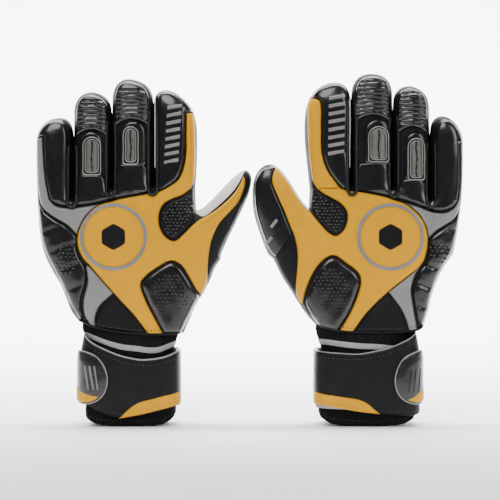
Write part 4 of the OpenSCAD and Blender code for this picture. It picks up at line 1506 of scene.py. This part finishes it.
def strap_lengths(g):
    """Half of the front, a corner's arc, half of a side, and the whole way round."""
    front, side = STRAP_W[g] / 2 - STRAP_R, STRAP_D / 2 - STRAP_R
    arc = math.pi * STRAP_R / 2
    return front, arc, side, 4 * (front + arc + side)


def wrist_place(g, s, out):
    """Place (u, y) at a distance s round the strap from the middle of its front, outwards by out."""
    front, arc, side, total = strap_lengths(g)
    s = (np.asarray(s, float) + total / 2) % total - total / 2
    t, sign = np.abs(s), np.where(s < 0, -1.0, 1.0)
    a1 = np.clip((t - front) / STRAP_R, 0, math.pi / 2)
    a2 = np.clip((t - front - arc - 2 * side) / STRAP_R, 0, math.pi / 2)
    angle = a1 + a2
    u = np.minimum(t, front) + STRAP_R * np.sin(a1) - STRAP_R * (1 - np.cos(a2))
    u -= np.maximum(t - front - 2 * arc - 2 * side, 0)
    y = -side - STRAP_R * np.cos(a1) + np.clip(t - front - arc, 0, 2 * side) + STRAP_R * np.sin(a2)
    u, y = u + out * np.sin(angle), y - out * np.cos(angle)
    return WRIST_U[g] + sign * u, WRIST_Y + y


def wrist_lift(g, base=0.0):
    """Lift onto the outside of the strap, for places (s, z)."""
    def lift(p, h):
        u, y = wrist_place(g, p[:, 0], base + h)
        return np.stack([u, y, p[:, 1]], 1)
    return lift


def periodic(points, s, total):
    """Smooth value at s from (share of the way round, value) pairs."""
    share = (s / total + 0.5) % 1 - 0.5
    x = np.array([p[0] for p in points])
    v = np.array([p[1] for p in points])
    x = np.concatenate([x - 1, x, x + 1])
    v = np.tile(v, 3)
    fine = np.linspace(-0.8, 0.8, 641)
    flat = np.interp(fine, x, v)
    kernel = np.hanning(37)
    soft = np.convolve(np.pad(flat, 18, mode="edge"), kernel / kernel.sum(), mode="valid")
    return np.interp(share, fine, soft)


STRAP_TOP = ([(-0.5, 60), (-0.3, 62), (-0.2, 61.9), (-0.11, 55.4), (-0.04, 53.9), (0.035, 57.6),
              (0.1, 64), (0.19, 75), (0.25, 76), (0.35, 68)],
             [(-0.5, 60), (-0.3, 62), (-0.2, 61.5), (-0.12, 60), (-0.03, 58.6), (0.07, 63.5), (0.13, 70),
              (0.19, 76), (0.25, 76), (0.35, 68)])
STRAP_LOW = ([(-0.5, 14), (-0.25, 16.5), (-0.17, 16.5), (-0.07, 10), (0.03, 6.6), (0.1, 11), (0.17, 21),
              (0.25, 20), (0.36, 15)],
             [(-0.5, 14), (-0.25, 17), (-0.17, 17), (-0.09, 13.6), (0.04, 10.2), (0.16, 8.4),
              (0.25, 12), (0.36, 14)])


def strap_lean(g, s, z):
    """How far the strap leans in towards the wrist above its body, most on the outer side."""
    total = strap_lengths(g)[3]
    outer = np.exp(-((np.asarray(s, float) / total - 0.24) / 0.1) ** 2)
    return (0.8 + 2.0 * outer) * smooth((np.asarray(z, float) - 56) / 20)


def build_strap(g):
    side = SIDES[g]
    total = strap_lengths(g)[3]
    s = np.linspace(-total / 2, total / 2, 241)[:-1]
    top, low = periodic(STRAP_TOP[g], s, total), periodic(STRAP_LOW[g], s, total)
    rings = []
    outer = [0.0, 0.012, 0.035, 0.08, 0.16, 0.3, 0.45, 0.6, 0.75, 0.86, 0.93, 0.97, 0.99, 1.0]
    for i, at in enumerate(s):
        ring = []
        for t in outer:
            z = low[i] + (top[i] - low[i]) * t
            edge = min(t, 1 - t) * (top[i] - low[i])
            round_off = 1.1 * (1 - math.sqrt(1 - max(0.0, 1 - edge / 1.6) ** 2))
            bulge = 0.35 * math.sin(math.pi * t) + 0.12 * math.sin(0.21 * at + 0.5) * math.sin(0.17 * z)
            out = bulge - round_off - strap_lean(g, at, z)
            ring.append((at, z, out))
        for t in outer[::-1]:
            z = low[i] + (top[i] - low[i]) * t
            edge = min(t, 1 - t) * (top[i] - low[i])
            round_off = 1.0 * (1 - math.sqrt(1 - max(0.0, 1 - edge / 1.4) ** 2))
            thick = STRAP_T - 1.8 * float(smooth((z - 56) / 16))
            ring.append((at, z, round_off - thick - strap_lean(g, at, z)))
        rings.append(ring)
    rings = np.array(rings)
    u, y = wrist_place(g, rings[:, :, 0], rings[:, :, 2])
    verts, faces = loft(np.stack([u, y, rings[:, :, 1]], 2), closed=True)
    strap = finish_piece(make("wrist_strap", g, verts, faces, "black", sharp=60), g, "hand")
    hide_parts(f"{side}_wrist_strap")
    padded(strap)
    edge = [(at, z) for at, z in zip(s, top)]
    lifted = np.array([(*wrist_place(g, at, -1.2 - strap_lean(g, at, z)), z + 0.1) for at, z in edge])
    verts, faces = tube(lifted, 0.85 if g == 0 else 0.6, 8, closed=True)
    piping = finish_piece(make("strap_piping", g, verts, faces, "silver", sharp=70), g, "hand")
    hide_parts(f"{side}_strap_piping")
    for name, line, gap in (("strap_top_stitches", top, -4.2), ("strap_low_stitches", low, 3.2)):
        run = np.array([(*wrist_place(g, at, 0.12 - strap_lean(g, at, z + gap)), z + gap)
                        for at, z in zip(s, line)])
        stitches(name, g, [run], "black_thread", "hand", length=2.3, gap=1.1, radius=0.26)


WAIST = [(48, 34.5, 17.0), (58, 35.5, 17.5), (66, 36.0, 17.0), (71, 38.0, 16.2), (75, 39.4, 15.4),
         (79, 40.0, 14.6), (86, 39.6, 13.6)]
PALM_TUCK = 3.0        # the elastic runs this far inside the hem of the palm


def waist(g, angles, z, out=0.0):
    """Place (u, y) on the wrist elastic at an angle round it and a height."""
    z = np.asarray(z, float)
    rows = np.array(WAIST)
    half_w = np.interp(z, rows[:, 0], rows[:, 1]) + (0.0 if g == 0 else 2.0)
    half_d = np.interp(z, rows[:, 0], rows[:, 2])
    c, s = np.cos(angles), np.sin(angles)
    half_d = half_d - PALM_TUCK * (s > 0) * smooth((z - 68) / 8)
    half_w = half_w - 1.2 * smooth(c) * smooth((80 - z) / 6)
    gathers = 0.22 * np.sin(57 * np.asarray(angles)) * smooth((z - 62) / 10)
    power = 0.68
    centre_y = WRIST_Y * smooth((86 - z) / 26)
    u = WRIST_U[g] + (half_w + out + gathers) * np.sign(c) * np.abs(c) ** power
    y = centre_y + (half_d + out + gathers) * np.sign(s) * np.abs(s) ** power
    return u, y


STRIPE_Z = ([(138, 75.5), (127, 72), (108.6, 66.4), (98, 63.4), (87.1, 61.9), (78, 62.7), (70, 65), (62, 67)],
            [(54, 69.2), (70, 68), (90, 65.8), (115.3, 62.9), (130, 61), (138, 60)])


def build_elastic(g):
    side = SIDES[g]
    angles = 2 * math.pi * np.arange(360) / 360
    heights = [48, 52, 56, 60, 63, 66, 69, 71.5, 74, 76.5, 79, 82, 86]
    skin = [np.stack([*waist(g, angles, z), np.full(360, z)], 1) for z in heights]
    lining = [np.stack([*waist(g, angles, z, -2.0), np.full(360, z)], 1) for z in heights[::-1]]
    verts, faces = loft(np.stack(skin + lining, 1), closed=True)
    elastic = finish_piece(make("wrist_elastic", g, verts, faces, "elastic", sharp=60), g, "hand")
    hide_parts(f"{side}_wrist_elastic")
    smooth_line = catmull(sorted(STRIPE_Z[g]), 1.0)
    rings = []
    for a in angles[::2]:
        u = WRIST_U[g] + 38 * math.cos(a)
        front = np.interp(u, smooth_line[:, 0], smooth_line[:, 1])
        share = float(smooth(0.5 - 0.9 * math.sin(a)))
        mid = front * share + 67.0 * (1 - share)
        half = 2.3
        profile = ((-half, -0.3), (-half, 0.35), (-half * 0.8, 0.6), (half * 0.8, 0.6), (half, 0.35),
                   (half, -0.3))
        rings.append([(*waist(g, a, mid + dz, out), mid + dz) for dz, out in profile])
    verts, faces = loft(np.array(rings, float), closed=True)
    stripe = finish_piece(make("wrist_stripe", g, verts, faces, "stripe", sharp=60), g, "hand")
    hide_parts(f"{side}_wrist_stripe")


CUFF_RISE = 9.0


def build_cuff(g):
    """Soft inner cuff: it hangs below the strap and stands on its turned edge."""
    side = SIDES[g]
    total = strap_lengths(g)[3]
    s = np.linspace(-total / 2, total / 2, 241)[:-1]
    rise = CUFF_RISE * ((1 - np.cos(4 * math.pi * s / total)) / 2) ** 2.2
    profile = [(0.0, -1.2), (0.5, -0.3), (1.8, 0.05), (5, 0.0), (10, 0.0), (16, 0.0), (24, 0.0), (40, -0.2),
               (50, -0.6), (50, -2.6), (30, -2.9), (10, -3.0), (2.0, -3.0), (0.5, -2.6), (0.0, -1.9)]
    rings = []
    for i, at in enumerate(s):
        ripple = 0.25 * math.sin(0.35 * at) + 0.15 * math.sin(0.83 * at + 1)
        ring = [(at, max(z + rise[i] * max(0.0, 1 - z / 20), 0.0), out - STRAP_T - 0.2 + ripple * 0.5)
                for z, out in profile]
        rings.append(ring)
    rings = np.array(rings)
    u, y = wrist_place(g, rings[:, :, 0], rings[:, :, 2])
    verts, faces = loft(np.stack([u, y, rings[:, :, 1]], 2), closed=True)
    cuff = finish_piece(make("cuff", g, verts, faces, "elastic", sharp=60), g, "hand")
    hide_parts(f"{side}_cuff")
    run = np.array([(*wrist_place(g, at, 0.1 - STRAP_T), 4.5 + rise[i]) for i, at in enumerate(s)])
    stitches("cuff_stitches", g, [run], "black_thread", "hand", length=2.0, gap=1.3, radius=0.24)


TRIM = ([(8.1, 6.6, 1), (4, 10.6), (-2.7, 16.6), (-10, 20.4), (-17.7, 22.3), (-29, 25.2), (-40.8, 27.6),
         (-46, 28.6, 1), (-46, 17.6, 1), (-38, 16.8), (-26, 14), (-10, 10)],
        [(9.5, 10.2, 1), (4, 15), (-0.5, 18.8), (-5.7, 21.4), (-12, 23), (-18.7, 23.9), (-30, 25.6),
         (-42.6, 27.4), (-48, 28, 1), (-48, 17.8, 1), (-40.5, 17.4), (-28, 15.8), (-10, 12.6)])
TAB = ([(55, 60, 1), (46, 61.6), (38, 61.6), (29, 59), (22.5, 53), (18.6, 45), (17.6, 36), (20.2, 27.4),
        (26, 21.4), (34, 18.8), (44, 19.4), (55, 21, 1)],
       [(57, 60, 1), (49, 61.8), (42, 61.6), (33.5, 59), (27.4, 54), (23, 45), (21.8, 36), (24.4, 27),
        (30, 21.2), (38, 18.6), (48, 19.2), (57, 21, 1)])
TAB_CORNER = ([(53.6, 34.6, 1), (47, 32.8), (39, 29.2), (31, 26), (24.6, 25, 1), (28.4, 21.6), (34.6, 20),
               (44, 20.6), (53.6, 22.4, 1)],
              [(55.6, 34.2, 1), (49, 32.6), (42, 28.6), (36, 24.6), (31.4, 21.8, 1), (38, 20), (47, 20.6),
               (55.6, 22.4, 1)])
RIBS = ([(27.9, 25.2), (31.2, 28.4), (34.8, 32)], [(34.2, 32.1), (37.8, 35.9), (42.2, 40.2)])
RIB_ENDS = ((49.7, 30.3), (47.0, 28.0))
TAB_OUT = 0.0


def build_trims(g):
    side = SIDES[g]
    lift = wrist_lift(g, 0.2)
    trim = panel("strap_trim", g, outline(TRIM[g]), lift, "yellow", "hand", 1.1, 1.2, 1.6)
    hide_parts(f"{side}_strap_trim")
    low = [p[:2] for p in TRIM[g] if len(p) == 2][6 if g == 0 else 7:]
    line = np.array([(s, z + 3.0) for s, z in resample(catmull([(-44, 17.5)] + sorted(low), 1.0), 1.0)
                     if s < 1])
    stitches_on("strap_trim_stitches", g, [line], lift, 1.15, "dark_thread", "hand", length=1.9,
                gap=0.9, radius=0.22)
    if g == 1:
        under = np.array([(s, 14.6 + 0.045 * (-s)) for s in np.linspace(-45, -4, 40)])
        ribbon("strap_under_stripe", g, [under], [(-1.4, -0.4), (-1.3, 0.6), (1.3, 0.6), (1.4, -0.4)],
               wrist_lift(g, 0.1), "stripe", "hand")
    patch = outline([(20, 24, 1), (50, 24, 1), (50, 55, 1), (26, 55), (20, 40)])
    loop = panel("loop_patch", g, patch + (0.0 if g == 0 else 4.0, 0.0), wrist_lift(g, 0.1), "loop",
                 "hand", 0.25, 0.5, 2.0, sink=0.4)
    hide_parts(f"{side}_loop_patch")


def build_tab(g):
    """Round-ended closure tab with its piping, three moulded ribs and a corner patch."""
    side = SIDES[g]
    shape = outline(TAB[g])

    def relief(p, d):
        return 0.5 * smooth(d / 9) + wobble(p, 7.0, 0.05, g)

    tab = panel("strap_tab", g, shape, wrist_lift(g, TAB_OUT + 0.8), "gloss", "tab", 1.8, 1.6, 1.5,
                sink=0.6, relief=relief)
    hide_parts(f"{side}_strap_tab")
    padded(tab)
    ribbon("tab_piping", g, [catmull([p[:2] for p in TAB[g]], 1.0)], cord_profile(0.55, 0.0),
           wrist_lift(g, TAB_OUT + 1.6), "silver", "tab")
    ribs = []
    for a, b in RIBS[g]:
        ribs.append(resample([(a, RIB_ENDS[g][0]), (b, RIB_ENDS[g][1])], 1.0))
    ridge = [(-0.7, -0.6), (-0.6, 0.5), (-0.2, 0.9), (0.4, 0.8), (0.7, 0.2), (0.7, -0.6)]
    # On the left glove the ribs take the grey print colour: partly their silver lines, partly a painted
    # highlight on black gloss ridges. On the right glove they are black gloss.
    moulded = ribbon("tab_trim", g, ribs, ridge, wrist_lift(g, TAB_OUT + 2.6), ("bar", "gloss")[g], "tab")
    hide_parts(f"{side}_tab_trim")
    panel("tab_corner", g, outline(TAB_CORNER[g]), wrist_lift(g, TAB_OUT + 2.4), "yellow", "tab", 0.9,
          0.9, 1.3, sink=1.6)
    middle = catmull([(52, 28.4), (44, 26.2), (36, 24.2), (31, 23.6)], 1.0) + (0.0 if g == 0 else 3.0, 0.0)
    stitches_on("tab_corner_stitches", g, [middle], wrist_lift(g, TAB_OUT + 3.3), 0.0, "dark_thread",
                "tab", length=1.9, gap=0.9, radius=0.2)


def build_wrist(g):
    build_elastic(g)
    build_strap(g)
    build_cuff(g)
    build_trims(g)
    build_tab(g)


# ---------------------------------------------------------------- stage, lights and camera
def plain(name, color, rough=0.6):
    material = bpy.data.materials.new(name)
    material.use_nodes = True
    bsdf = material.node_tree.nodes["Principled BSDF"]
    bsdf.inputs["Base Color"].default_value = (*color, 1)
    bsdf.inputs["Roughness"].default_value = rough
    return material


def build_stage():
    """Seamless pale sweep: a floor that curves up behind the gloves."""
    profile = [(-1.0, -0.0005), (0.9, -0.0005)]
    profile += [(0.9 + 0.8 * math.sin(a), 0.8 - 0.8 * math.cos(a) - 0.0005)
                for a in np.linspace(0.1, math.pi / 2, 14)]
    profile += [(1.7, 4.0)]
    verts = [(x, y, z) for x in (-4.0, 4.0) for y, z in profile]
    n = len(profile)
    faces = [(i, i + 1, n + i + 1, n + i) for i in range(n - 1)]
    mesh = bpy.data.meshes.new("sweep")
    mesh.from_pydata(verts, [], faces)
    mesh.polygons.foreach_set("use_smooth", [True] * len(faces))
    sweep = bpy.data.objects.new("sweep", mesh)
    bpy.context.scene.collection.objects.link(sweep)
    mesh.materials.append(plain("pale_paper", (0.92, 0.92, 0.92), 0.9))


def softbox(name, place, aim, width, height, power):
    light = bpy.data.lights.new(name, "AREA")
    light.shape, light.size, light.size_y, light.energy = "RECTANGLE", width, height, power
    obj = bpy.data.objects.new(name, light)
    bpy.context.scene.collection.objects.link(obj)
    obj.location = place
    to = Vector(aim) - Vector(place)
    obj.rotation_euler = to.to_track_quat("-Z", "Y").to_euler()
    return obj


def build_lights():
    middle = (0.0, 0.0, 0.15)
    softbox("key", (-0.4, -1.3, 1.5), middle, 1.4, 1.0, 36)
    softbox("fill", (1.3, -1.2, 0.9), middle, 0.6, 1.0, 12)
    softbox("edge_left", (-1.3, 0.1, 0.6), middle, 0.4, 1.2, 1.5)
    softbox("edge_right", (1.3, 0.1, 0.6), middle, 0.4, 1.2, 1.5)
    backdrop = softbox("backdrop", (0.0, 0.35, 2.2), (0.0, 1.5, 0.4), 2.4, 0.8, 190)
    backdrop.data.spread = math.radians(105)
    world = bpy.data.worlds.new("studio")
    bpy.context.scene.world = world
    world.use_nodes = True
    world.node_tree.nodes["Background"].inputs["Color"].default_value = (1, 1, 1, 1)
    world.node_tree.nodes["Background"].inputs["Strength"].default_value = 0.08


CAMERA_AWAY = 1.2
FIELD = 0.410


def build_camera():
    camera = bpy.data.cameras.new("camera")
    camera.sensor_width = 36.0
    camera.lens = camera.sensor_width * CAMERA_AWAY / FIELD
    obj = bpy.data.objects.new("camera", camera)
    bpy.context.scene.collection.objects.link(obj)
    obj.location = (-0.00164, -CAMERA_AWAY - 0.015, 0.1443)
    obj.rotation_euler = (math.pi / 2, 0.0, 0.0)
    bpy.context.scene.camera = obj


build_camera()
for glove in (0, 1):
    build_shells(glove)
    build_overlays(glove)
    build_fingers(glove)
    build_thumb(glove)
    build_wrist(glove)
build_stage()
build_lights()
